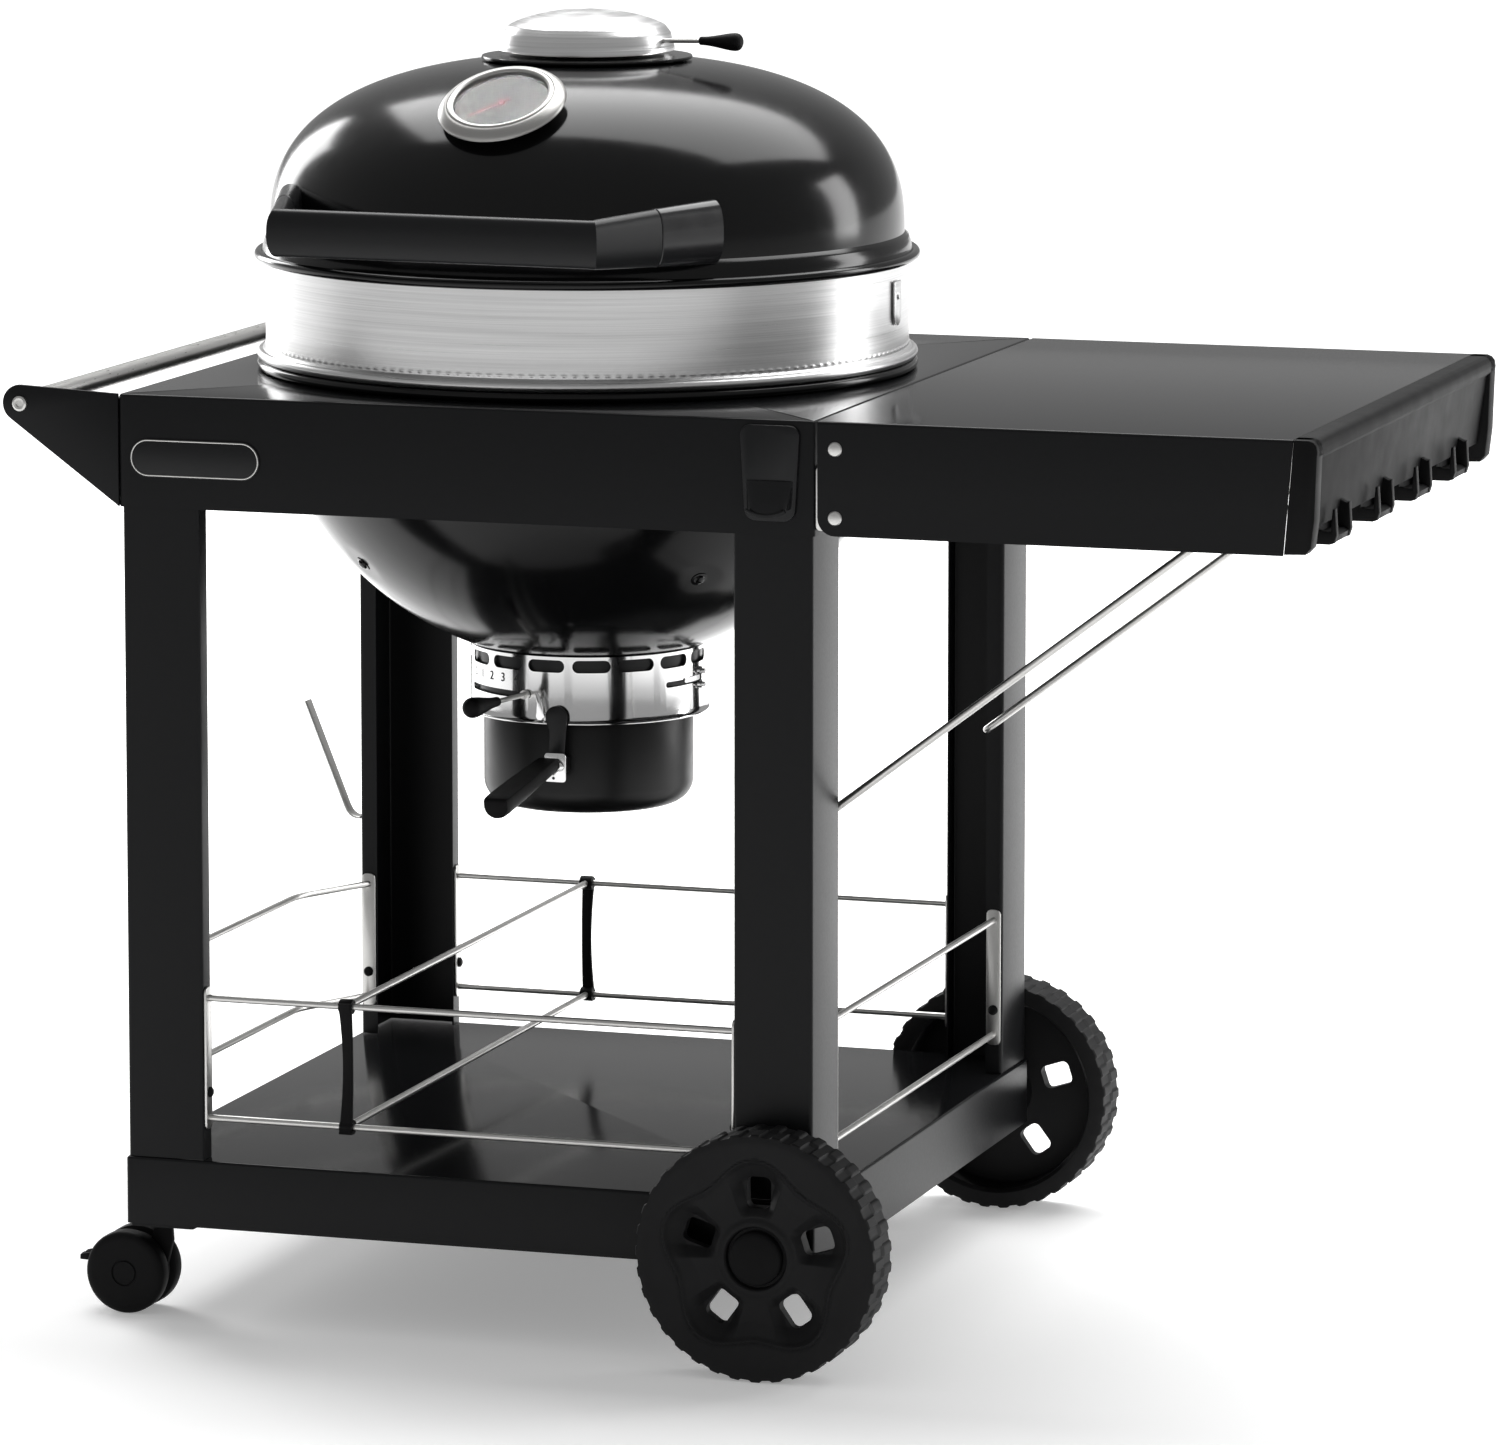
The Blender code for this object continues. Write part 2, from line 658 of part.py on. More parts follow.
# ------------------------ sliding divider between the front and rear racks
DIVIDER_X = -0.113
body("divider", "cart", (DIVIDER_X, 0, rack_high))
rail_y = LEG_FACE - LEG_INNER / 2
clip_hole = RACK_ROD + 0.0005
clip_y = rail_y
bm = bmesh.new()
add_box(
    bm,
    (DIVIDER_X - 0.006, -clip_y - 0.008, rack_low - 0.012),
    (DIVIDER_X + 0.006, -clip_y + 0.010, rack_high + 0.010),
)
divider = mesh_object("rack_divider", bm, MOULDED, "divider")
combine(
    divider,
    "UNION",
    boxes(
        (
            (DIVIDER_X - 0.006, clip_y - 0.010, rack_low - 0.012),
            (DIVIDER_X + 0.006, clip_y + 0.008, rack_high + 0.010),
        )
    )
    + cylinders(
        *[
            ((DIVIDER_X, -clip_y + 0.006, z), (DIVIDER_X, clip_y - 0.006, z), RACK_ROD)
            for z in (rack_low, rack_high)
        ],
        segments=8,
    ),
    "divider",
)
combine(
    divider,
    "DIFFERENCE",
    cylinders(
        *[
            ((DIVIDER_X - 0.02, along * rail_y, z), (DIVIDER_X + 0.02, along * rail_y, z), clip_hole)
            for along in (FRONT, REAR)
            for z in (rack_low, rack_high)
        ],
        segments=12,
    ),
    "divider",
)

# ------------------------ lid hook on the rear left leg
HOOK_THICK, HOOK_WIDTH = 0.003, 0.015
hook_x = -LEG_SIDE - GAP
hook_top = DECK_TOP + 0.3125
hook_y = LIP_FACE + 0.020
bm = bmesh.new()
outline = [
    (hook_x, hook_top),
    (hook_x, hook_top - 0.100),
    (hook_x - 0.006, hook_top - 0.112),
    (hook_x - 0.020, hook_top - 0.110),
    (hook_x - 0.064, hook_top - 0.002),
    (hook_x - 0.064 + HOOK_THICK, hook_top),
    (hook_x - 0.0185, hook_top - 0.1065),
    (hook_x - 0.008, hook_top - 0.108),
    (hook_x - HOOK_THICK, hook_top - 0.099),
    (hook_x - HOOK_THICK, hook_top),
]
add_outline(bm, outline, -hook_y - HOOK_WIDTH, -hook_y, FACING_FRONT)
mesh_object("lid_hook", bm, ROD_STEEL, "cart")

# ------------------------ bowl, with a rolled rim that rests on the table
BOWL_FLOOR = 0.070  # radius of the opening over the ash collar
curve_steps = 7
floor_angle = math.asin(BOWL_FLOOR / KETTLE_RADIUS)
angles = [math.pi / 2 - (math.pi / 2 - floor_angle) * i / curve_steps for i in range(curve_steps + 1)]


def bowl_curve(inset):
    """(radius, z) from the mouth down to the floor opening."""
    return [
        (
            (KETTLE_RADIUS - inset) * math.sin(a),
            BOWL_MOUTH - (BOWL_DEPTH - inset) * math.cos(a),
        )
        for a in angles
    ]


rim_centre = TABLE_HEIGHT + GAP + RIM_ROLL
outer_curve = [p for p in bowl_curve(0.0) if p[1] < rim_centre - RIM_ROLL - 0.004]
inner_curve = bowl_curve(BOWL_WALL)
profile = [(KETTLE_RADIUS - BOWL_WALL, BOWL_MOUTH)]
profile += arc((RIM_RADIUS - RIM_ROLL, rim_centre), RIM_ROLL, 90, -90, 4)
profile += [(KETTLE_RADIUS, rim_centre - RIM_ROLL), (KETTLE_RADIUS, rim_centre - RIM_ROLL - 0.003)]
profile += outer_curve
profile += inner_curve[:0:-1]
bowl = turned("bowl", profile, ENAMEL, "cart")

# ------------------------ ash collar under the bowl
collar_top = bowl_z(COLLAR_RADIUS) - GAP
collar_bottom = collar_top - COLLAR_HEIGHT
lip_out = 0.003
profile = [
    (COLLAR_RADIUS - COLLAR_WALL, collar_top - 0.001),
    (COLLAR_RADIUS + 0.001, collar_top - 0.001),
    (COLLAR_RADIUS, collar_top - 0.005),
    (COLLAR_RADIUS, collar_bottom + 0.006),
    (COLLAR_RADIUS + lip_out, collar_bottom + 0.001),
    (COLLAR_RADIUS + lip_out, collar_bottom),
    (COLLAR_RADIUS + lip_out - 0.003, collar_bottom),
    (COLLAR_RADIUS - COLLAR_WALL, collar_bottom + 0.006),
]
collar = turned("ash_collar", profile, POLISHED, "cart")
slot_z = collar_top - 0.012
slot_count = 12
slot_cut = []
for number in range(slot_count):
    turn = Matrix.Rotation(2 * math.pi * number / slot_count, 4, "Z")
    slot_cut.append(
        lambda bm, turn=turn: add_box(
            bm,
            (-0.0165, -COLLAR_RADIUS - 0.01, slot_z - 0.004),
            (0.0165, -COLLAR_RADIUS + 0.01, slot_z + 0.004),
            turn,
        )
    )
combine(collar, "DIFFERENCE", slot_cut, "cart")

# ------------------------ ash sweeper: shaft, three blades and the lever rod
SWEEP_REST = math.radians(-12.4)  # where the lever stands at rest
SWEEP_RANGE = math.radians(45)
SWEEP_ROD = 0.0022
sweep_z = collar_top - 0.037
body("ash_sweeper", "cart", (0, 0, sweep_z))


def add_lever_slot(bm):
    """A slot round the collar: an arc of wall from the lever's rest to the end of its travel."""
    margin = (SWEEP_ROD + 0.0012) / COLLAR_RADIUS
    start, end = SWEEP_REST + margin, SWEEP_REST - SWEEP_RANGE - margin
    steps = 8
    outline = []
    for radius, ends in ((COLLAR_RADIUS + 0.01, (start, end)), (COLLAR_RADIUS - 0.01, (end, start))):
        for i in range(steps + 1):
            a = ends[0] + (ends[1] - ends[0]) * i / steps
            outline.append((radius * math.sin(a), -radius * math.cos(a)))
    half = SWEEP_ROD + 0.0012
    add_outline(bm, outline, sweep_z - half, sweep_z + half)


combine(collar, "DIFFERENCE", [add_lever_slot], "cart")
hub_top = bowl_z(0.0, BOWL_WALL) + 0.016
bm = bmesh.new()
add_cylinder(bm, (0, 0, sweep_z - 0.006), (0, 0, hub_top), 0.008, segments=12)
sweeper = mesh_object("ash_sweeper", bm, CAST_IRON, "ash_sweeper")
blade_inner, blade_outer = 0.004, 0.150
blade_shapes = []
for number in range(3):
    turn = Matrix.Rotation(2 * math.pi * (number + 0.5) / 3, 4, "Z")

    def add_blade(bm, turn=turn):
        """A strip 12 mm wide that follows the inside of the bowl, clear of it."""
        lift = 0.0035
        radii = [blade_inner + (blade_outer - blade_inner) * i / 6 for i in range(7)]
        under = [(r, bowl_z(max(r, BOWL_FLOOR * 0.5), BOWL_WALL) + lift) for r in radii]
        over = [(r, z + 0.0035) for r, z in reversed(under)]
        add_outline(bm, under + over, -0.006, 0.006, turn @ FACING_FRONT)

    blade_shapes.append(add_blade)
blade_shapes.append(
    lambda bm: add_cylinder(
        bm,
        (0, -0.003, sweep_z),
        (0, -COLLAR_RADIUS - 0.048, sweep_z + 0.001),
        SWEEP_ROD,
        segments=8,
    )
)
combine(sweeper, "UNION", blade_shapes[:3], "ash_sweeper")
combine(
    sweeper,
    "UNION",
    blade_shapes[3:],
    "ash_sweeper",
    Matrix.Rotation(SWEEP_REST, 4, "Z"),
)
grip_profile = [(0, 0.050), (0.0045, 0.0485), (0.0085, 0.044), (0.0092, 0.036)]
grip_profile += [(0.0055, 0.003), (0.0045, 0), (0, 0)]
grip_turn = Matrix.Rotation(SWEEP_REST, 4, "Z") @ Matrix.Translation(
    (0, -COLLAR_RADIUS - 0.048 - GAP, sweep_z + 0.001)
)
grip_turn = grip_turn @ Matrix.Rotation(math.pi / 2, 4, "X")
turned("sweeper_grip", grip_profile, MOULDED, "ash_sweeper", 12, grip_turn)

# ------------------------ ash bucket with its bracket, plate and handle
body("ash_bucket", "cart", (0, 0, collar_bottom))
bucket_top = collar_bottom + 0.008
bucket_bottom = bucket_top - BUCKET_HEIGHT
round_out = 0.020
profile = [(BUCKET_RADIUS - BUCKET_WALL, bucket_top), (BUCKET_RADIUS, bucket_top)]
profile += arc((BUCKET_RADIUS - round_out, bucket_bottom + round_out), round_out, 0, -90, 4)
profile += [(0, bucket_bottom), (0, bucket_bottom + BUCKET_WALL)]
profile += arc(
    (BUCKET_RADIUS - round_out, bucket_bottom + round_out), round_out - BUCKET_WALL, -90, 0, 4
)
turned("ash_bucket", profile, ENAMEL, "ash_bucket", 28)
STRAP_X = 0.008
clear_y = -COLLAR_RADIUS - lip_out - 0.002
outline = [
    (STRAP_X - 0.004, bucket_bottom + 0.040),
    (STRAP_X + 0.010, bucket_bottom + 0.040),
    (STRAP_X + 0.0115, collar_bottom + 0.006),
]
outline += arc((STRAP_X + 0.001, collar_bottom + 0.008), 0.0105, 10, 190, 8)
outline += [(STRAP_X - 0.004, collar_bottom - 0.002)]
bm = bmesh.new()
add_outline(bm, outline, -clear_y, -clear_y + 0.002, FACING_FRONT)
bracket = mesh_object("bucket_bracket", bm, SATIN_BLACK, "ash_bucket")
combine(
    bracket,
    "UNION",
    boxes(
        (
            (STRAP_X - 0.004, clear_y - 0.001, bucket_bottom + 0.041),
            (STRAP_X + 0.010, -BUCKET_RADIUS - GAP, bucket_bottom + 0.055),
        )
    ),
    "ash_bucket",
)
plate_front = clear_y - 0.002 - GAP
box(
    "bucket_plate",
    (STRAP_X - 0.010, plate_front - 0.0015, bucket_bottom + 0.034),
    (STRAP_X + 0.010, plate_front, bucket_bottom + 0.060),
    POLISHED,
    "ash_bucket",
)
handle_start = Vector((STRAP_X - 0.006, plate_front + 0.0030, bucket_bottom + 0.050))
handle_end = handle_start + Vector((-0.006, -0.127, -0.020))
outline = [(-0.0125, 0.009)] + arc((0, 0.002), 0.0125, 190, 350, 8) + [(0.0125, 0.009)]
bm = bmesh.new()
add_outline(bm, outline, 0, (handle_end - handle_start).length)
aim = (handle_end - handle_start).to_track_quat("Z", "Y").to_matrix().to_4x4()
bmesh.ops.transform(bm, matrix=Matrix.Translation(handle_start) @ aim, verts=bm.verts)
combine(
    mesh_object("bucket_handle", bm, MOULDED, "ash_bucket"),
    "DIFFERENCE",
    boxes(
        (
            (-0.05, plate_front - 0.0015 - GAP, bucket_bottom),
            (0.05, plate_front + 0.03, bucket_bottom + 0.09),
        )
    ),
    "ash_bucket",
)

# ------------------------ grates inside the bowl
body("cooking_grate", "cart", (0, 0, BOWL_MOUTH - GRATE_DROP))
body("charcoal_grate", "cart", (0, 0, BOWL_MOUTH - COAL_DROP))


def grate(name, carrier, z, radius, bars):
    """A round grate: a disc with slots between its bars and a plain band across the middle."""
    disc = cylinder(
        name,
        (0, 0, z - GRATE_ROD),
        (0, 0, z + GRATE_ROD),
        radius,
        ROD_STEEL,
        carrier,
        segments=40,
    )
    pitch = 2 * (radius - 0.006) / bars
    slots = []
    for number in range(bars):
        x = -radius + 0.006 + pitch * (number + 0.5)
        reach = math.sqrt(max(0.0, (radius - 0.008) ** 2 - (abs(x) + pitch / 2) ** 2))
        if reach < 0.02:
            continue
        half = pitch / 2 - 0.003
        for low, high in ((-reach, -0.004), (0.004, reach)):
            slots.append(((x - half, low, z - 0.01), (x + half, high, z + 0.01)))
    bm = bmesh.new()
    for low, high in slots:
        add_box(bm, low, high)
    link(disc, "DIFFERENCE", mesh_object(name + "_slots", bm, None, carrier, helper=True))


cook_z = BOWL_MOUTH - GRATE_DROP
coal_z = BOWL_MOUTH - COAL_DROP
grate("cooking_grate", "cooking_grate", cook_z, bowl_radius(cook_z, BOWL_WALL) - 0.010, 15)
grate("charcoal_grate", "charcoal_grate", coal_z, bowl_radius(coal_z, BOWL_WALL) - 0.006, 9)
tab_spots = []
for z, count, offset in ((cook_z, 4, 45), (coal_z, 4, 0)):
    for number in range(count):
        turn = Matrix.Rotation(math.radians(360 / count * number + offset), 4, "Z")
        reach = bowl_radius(z - GRATE_ROD - 0.0025, BOWL_WALL)
        tab_spots.append(
            lambda bm, turn=turn, reach=reach, z=z: add_box(
                bm,
                (-0.008, -reach - 0.0015, z - GRATE_ROD - 0.0035),
                (0.008, -reach + 0.018, z - GRATE_ROD - GAP),
                turn,
            )
        )
combine(bowl, "UNION", tab_spots, "cart")

# ------------------------ ring, with a bracket each side for a spit
body("ring", "cart", (0, 0, RING_BOTTOM))
profile = [(KETTLE_RADIUS - RING_WALL, RING_TOP), (KETTLE_RADIUS, RING_TOP)]
profile += [(KETTLE_RADIUS, RING_BOTTOM + 2 * RIM_ROLL + 0.002)]
profile += arc((RIM_RADIUS - RIM_ROLL, RING_BOTTOM + RIM_ROLL), RIM_ROLL, 90, -90, 4)
profile += [(KETTLE_RADIUS - RING_WALL, RING_BOTTOM)]
turned("ring_band", profile, BRUSHED, "ring")
for across, side in ((LEFT, "left"), (RIGHT, "right")):
    start, end = sorted((across * (KETTLE_RADIUS + GAP + 0.0012), across * (KETTLE_RADIUS + 0.0035)))
    z = RING_TOP - 0.010
    outline = [(-0.010, z), (-0.010, z - 0.030)] + arc((0, z - 0.034), 0.010, 180, 360, 6) + [(0.010, z)]
    bm = bmesh.new()
    add_outline(bm, outline, start, end, FACING_SIDE)
    mesh_object(f"spit_bracket_{side}", bm, BRUSHED, "ring")

# ------------------------ lid
body("lid", "ring", (0, 0, LID_BOTTOM), LID_TURN)
VENT_HOLE = 0.055
hole_angle = math.acos((VENT_HOLE / LID_RADIUS) ** (LID_POWER / 2))
lid_steps = 8
lid_angles = [hole_angle * (1 - i / lid_steps) for i in range(lid_steps + 1)]
inner_hole_angle = math.acos((VENT_HOLE / (LID_RADIUS - LID_WALL)) ** (LID_POWER / 2))
inner_angles = [inner_hole_angle * i / lid_steps for i in range(lid_steps + 1)]
profile = [lid_point(a) for a in lid_angles]
profile += [(KETTLE_RADIUS + 0.0015, LID_SPRING - 0.006)]
profile += arc((RIM_RADIUS + 0.0025 - RIM_ROLL, LID_BOTTOM + RIM_ROLL), RIM_ROLL, 80, -90, 4)
profile += [(KETTLE_RADIUS - 0.006, LID_BOTTOM), (KETTLE_RADIUS - 0.006, LID_BOTTOM + 0.003)]
profile += [lid_point(a, LID_WALL) for a in inner_angles]
lid_shell = turned("lid_shell", profile, ENAMEL, "lid")

# ------------------------ thermometer in the front of the dome
THERMO_RADIUS = LID_RADIUS * 0.72183  # a place on the dome's slope
THERMO_TILT = math.radians(61)  # its face's elevation
thermo_centre = Vector((0.006, -THERMO_RADIUS, lid_z(THERMO_RADIUS) - 0.004))
thermo_axis = Vector((0, -math.cos(THERMO_TILT), math.sin(THERMO_TILT)))
thermo_place = Matrix.Translation(thermo_centre) @ thermo_axis.to_track_quat("Z", "Y").to_matrix().to_4x4()
STEM_RADIUS = 0.012
combine(
    lid_shell,
    "DIFFERENCE",
    cylinders(
        (thermo_centre - thermo_axis * 0.03, thermo_centre + thermo_axis * 0.03, STEM_RADIUS + 0.001),
        segments=16,
    ),
    "lid",
)
BEZEL_RADIUS, DIAL_RADIUS = 0.0570, 0.0415
bezel_low, bezel_high = 0.008, 0.018
housing_profile = [
    (DIAL_RADIUS + 0.002, bezel_high),
    (BEZEL_RADIUS - 0.006, bezel_high),
    (BEZEL_RADIUS, bezel_low + 0.004),
    (BEZEL_RADIUS, bezel_low),
    (STEM_RADIUS, bezel_low - 0.002),
    (STEM_RADIUS, -0.025),
    (0, -0.025),
    (0, bezel_low + 0.001),
    (DIAL_RADIUS + 0.002, bezel_low + 0.001),
]
turned("thermometer_housing", housing_profile, BRUSHED, "lid", 28, thermo_place)
dial_profile = [(0, 0), (DIAL_RADIUS, 0), (DIAL_RADIUS, -0.0015), (0, -0.0015)]
dial_level = bezel_low + 0.001 + GAP + 0.0015
turned(
    "thermometer_dial",
    [(r, z + dial_level) for r, z in dial_profile],
    DIAL,
    "lid",
    28,
    thermo_place,
)
pointer_level = dial_level + 0.0008
glass_level = bezel_high - 0.003
turned(
    "thermometer_glass",
    [(r, z + glass_level + 0.0015) for r, z in dial_profile],
    GLASS,
    "lid",
    28,
    thermo_place,
)
body("thermometer_pointer", "lid", thermo_centre)
bm = bmesh.new()
outline = [(-0.0015, -0.008), (0.0015, -0.008), (0.0006, 0.034), (-0.0006, 0.034)]
add_outline(bm, outline, pointer_level, pointer_level + 0.0008)
pointer = mesh_object("thermometer_pointer", bm, POINTER, "thermometer_pointer", (0, 0, 0))
pointer.matrix_basis = Matrix.Translation(-thermo_centre) @ thermo_place @ Matrix.Rotation(
    math.radians(135), 4, "Z"
)

# ------------------------ lid vent: base, damper with its lever, cap
VENT_BASE_RADIUS, VENT_CAP_RADIUS = 0.0945, 0.0785
base_z = lid_z(0.0) + 0.0035
profile = [
    (0.030, base_z),
    (VENT_BASE_RADIUS - 0.004, base_z),
    (VENT_BASE_RADIUS, base_z - 0.002),
    (VENT_BASE_RADIUS, lid_z(VENT_BASE_RADIUS) + 0.002),
    (VENT_BASE_RADIUS - 0.002, lid_z(VENT_BASE_RADIUS - 0.002) + 0.0008),
    (0.030, base_z - 0.0022),
]
turned("vent_base", profile, SATIN_BLACK, "lid", 30)
damper_z = base_z + GAP
LEVER_AZIMUTH = math.radians(83) - LID_TURN
body("vent_damper", "lid", (0, 0, damper_z))
damper_profile = [(0, damper_z + 0.0015), (0.070, damper_z + 0.0015), (0.070, damper_z), (0, damper_z)]
damper = turned("vent_damper", damper_profile, BRUSHED, "vent_damper", 32)
lever_z = damper_z + 0.0105
lever_turn = Matrix.Rotation(LEVER_AZIMUTH, 4, "Z")
combine(
    damper,
    "UNION",
    [
        lambda bm: add_box(bm, (-0.003, -0.068, damper_z + 0.0008), (0.003, -0.062, lever_z + 0.002)),
        lambda bm: add_cylinder(bm, (0, -0.065, lever_z), (0, -0.112, lever_z + 0.0025), 0.002, segments=8),
    ],
    "vent_damper",
    lever_turn,
)
combine(
    damper,
    "DIFFERENCE",
    [
        lambda bm, turn=Matrix.Rotation(math.radians(120 * k + 30), 4, "Z"): add_cylinder(
            bm,
            turn @ Vector((0.045, 0, damper_z - 0.01)),
            turn @ Vector((0.045, 0, damper_z + 0.01)),
            0.012,
            segments=12,
        )
        for k in range(3)
    ],
    "vent_damper",
)
grip_place = lever_turn @ Matrix.Translation((0, -0.112 - GAP, lever_z + 0.0025))
grip_profile = [(0, 0.042), (0.0045, 0.041), (0.0075, 0.037), (0.0080, 0.030)]
grip_profile += [(0.0040, 0.002), (0.0035, 0), (0, 0)]
grip_place = grip_place @ Matrix.Rotation(math.pi / 2, 4, "X")
turned("vent_grip", grip_profile, MOULDED, "vent_damper", 12, grip_place)
cap_low, cap_high = damper_z + 0.0155, LID_TOP + 0.042
profile = [
    (0, cap_high),
    (0.030, cap_high - 0.001),
    (0.048, cap_high - 0.006),
    (0.062, cap_high - 0.012),
    (VENT_CAP_RADIUS - 0.006, cap_high - 0.016),
    (VENT_CAP_RADIUS, cap_low + 0.003),
    (VENT_CAP_RADIUS, cap_low),
    (VENT_CAP_RADIUS - 0.0015, cap_low),
    (VENT_CAP_RADIUS - 0.0075, cap_high - 0.0175),
    (0.061, cap_high - 0.0138),
    (0.047, cap_high - 0.0078),
    (0.030, cap_high - 0.0028),
    (0, cap_high - 0.0018),
]
cap = turned("vent_cap", profile, BRUSHED, "lid", 30)
combine(
    cap,
    "UNION",
    cylinders(((0, 0, damper_z + 0.0015 + GAP), (0, 0, cap_high - 0.001), 0.006), segments=12),
    "lid",
)

# ------------------------ lid handle: a bar, two arms and two ferrules
BAR_HALF, BAR_Y = KETTLE_RADIUS - 0.141, -KETTLE_RADIUS - 0.057
bar_z = LID_BOTTOM + 0.048
FERRULE_ANGLE = math.radians(45)
ferrule_out = LID_RADIUS - 0.001
arm_foot = Vector((math.sin(FERRULE_ANGLE), -math.cos(FERRULE_ANGLE), 0)) * ferrule_out
arm_foot.z = bar_z
corner = Vector((BAR_HALF, BAR_Y, bar_z))
arm = (arm_foot - corner).normalized()
ferrule_start = corner + (arm_foot - corner) * 0.50


def handle_section(centre, across, half_width, half_height, steps=12):
    """An oval section: points round a centre in the plane of Z and a level direction."""
    points = []
    for i in range(steps):
        a = 2 * math.pi * i / steps
        up = Vector((0, 0, half_height * math.sin(a)))
        points.append(centre + across * (half_width * math.cos(a)) + up)
    return points


def loft(sections):
    """A closed tube through sections with the same number of points."""
    bm = bmesh.new()
    rings = [[bm.verts.new(p) for p in section] for section in sections]
    for first, second in zip(rings, rings[1:]):
        for i in range(len(first)):
            j = (i + 1) % len(first)
            bm.faces.new((first[i], first[j], second[j], second[i]))
    bm.faces.new(rings[0][::-1])
    bm.faces.new(rings[-1])
    return bm


def mirrored(points):
    return [Vector((-p.x, p.y, p.z)) for p in points]


arm_across = Vector((arm.y, -arm.x, 0)).normalized()
mitre = (Vector((1, 0, 0)) - arm).normalized()
mitre_across = Vector((mitre.x, mitre.y, 0)).normalized()
half_arm = 0.0100
mitre_width = half_arm / abs(mitre_across.dot(arm_across))
sections = [
    handle_section(ferrule_start - arm * GAP, arm_across, half_arm, 0.025),
    handle_section(corner, mitre_across, mitre_width, 0.021),
]
left_sections = [mirrored(s) for s in sections]
chain = [left_sections[0], left_sections[1], sections[1], sections[0]]
mesh_object("lid_handle", loft(chain), SATIN_BLACK, "lid")
for across, side in ((LEFT, "left"), (RIGHT, "right")):
    pair = [
        handle_section(ferrule_start, arm_across, half_arm + 0.0008, 0.0258),
        handle_section(arm_foot + arm * 0.001, arm_across, half_arm + 0.0035, 0.0285),
    ]
    if across == LEFT:
        pair = [mirrored(s) for s in pair]
    mesh_object(f"handle_ferrule_{side}", loft(pair), SATIN_BLACK, "lid")
    ferrule = bpy.data.objects[f"handle_ferrule_{side}"]
    dome = [(r + GAP, z) for r, z in [lid_point(a) for a in lid_angles]]
    skirt = [(KETTLE_RADIUS + 0.0025, LID_SPRING - 0.004), (KETTLE_RADIUS + 0.0025, LID_BOTTOM)]
    cutter_profile = [(0, dome[0][1])] + dome + skirt + [(0, LID_BOTTOM)]
    cutter = turned(f"ferrule_cut_{side}", cutter_profile, None, "lid", TURN_STEPS, helper=True)
    link(ferrule, "DIFFERENCE", cutter)

# ------------------------ side shelf: tray, end cap, hinge brackets
body("side_shelf", "cart", (PIN_X, 0, PIN_Z))
bm = bmesh.new()
side_outline = [(SHELF_START, TABLE_HEIGHT), (SHELF_START, PIN_Z)]
side_outline += arc((PIN_X, PIN_Z), PIN_INSET, 180, 270, 4)
side_outline += [(SHELF_END - SHELF_SLANT, SHELF_BOTTOM), (SHELF_END, TABLE_HEIGHT)]
front_row = [bm.verts.new((x, -HALF_Y, z)) for x, z in side_outline]
rear_row = [bm.verts.new((x, HALF_Y, z)) for x, z in side_outline]
bm.faces.new(front_row)
bm.faces.new(rear_row[::-1])
bm.faces.new((front_row[0], front_row[-1], rear_row[-1], rear_row[0]))
bm.faces.new((front_row[-1], front_row[-2], rear_row[-2], rear_row[-1]))
shelf = solidify(mesh_object_open("side_shelf", bm, POWDER_COAT, "side_shelf"), SHEET)
for face_sign in (FRONT, REAR):
    combine(
        shelf,
        "DIFFERENCE",
        cylinders(
            (
                (PIN_X, face_sign * (HALF_Y - 0.01), PIN_Z),
                (PIN_X, face_sign * (HALF_Y + 0.01), PIN_Z),
                PIN_RADIUS + 0.0005,
            ),
            segments=16,
        ),
        "side_shelf",
    )
bm = bmesh.new()
cap_start = SHELF_END + GAP
CAP_SLANT = SHELF_SLANT - 0.0002  # its lower edge follows the tray's slanted end
cap_outline = [
    (cap_start, TABLE_HEIGHT),
    (CAP_END - 0.006, TABLE_HEIGHT),
    (CAP_END - 0.0015, TABLE_HEIGHT - 0.0015),
    (CAP_END, TABLE_HEIGHT - 0.006),
    (CAP_END - 0.004, SHELF_BOTTOM + 0.010),
    (CAP_END - 0.010, SHELF_BOTTOM + 0.001),
    (cap_start - CAP_SLANT, SHELF_BOTTOM + 0.001),
]
add_outline(bm, cap_outline, -HALF_Y, HALF_Y, FACING_FRONT)
end_cap = mesh_object("shelf_end_cap", bm, MOULDED, "side_shelf")
notches = []
for number in (-1, 0, 1):
    middle = -HOOK_SHIFT + number * 2 * HALF_Y * HOOK_PITCH
    notches.append(
        (
            (cap_start - CAP_SLANT - 0.001, middle - HOOK_GAP / 2, SHELF_BOTTOM - 0.01),
            (CAP_END + 0.001, middle + HOOK_GAP / 2, SHELF_BOTTOM + 0.024),
        )
    )
combine(end_cap, "DIFFERENCE", boxes(*notches), "side_shelf")

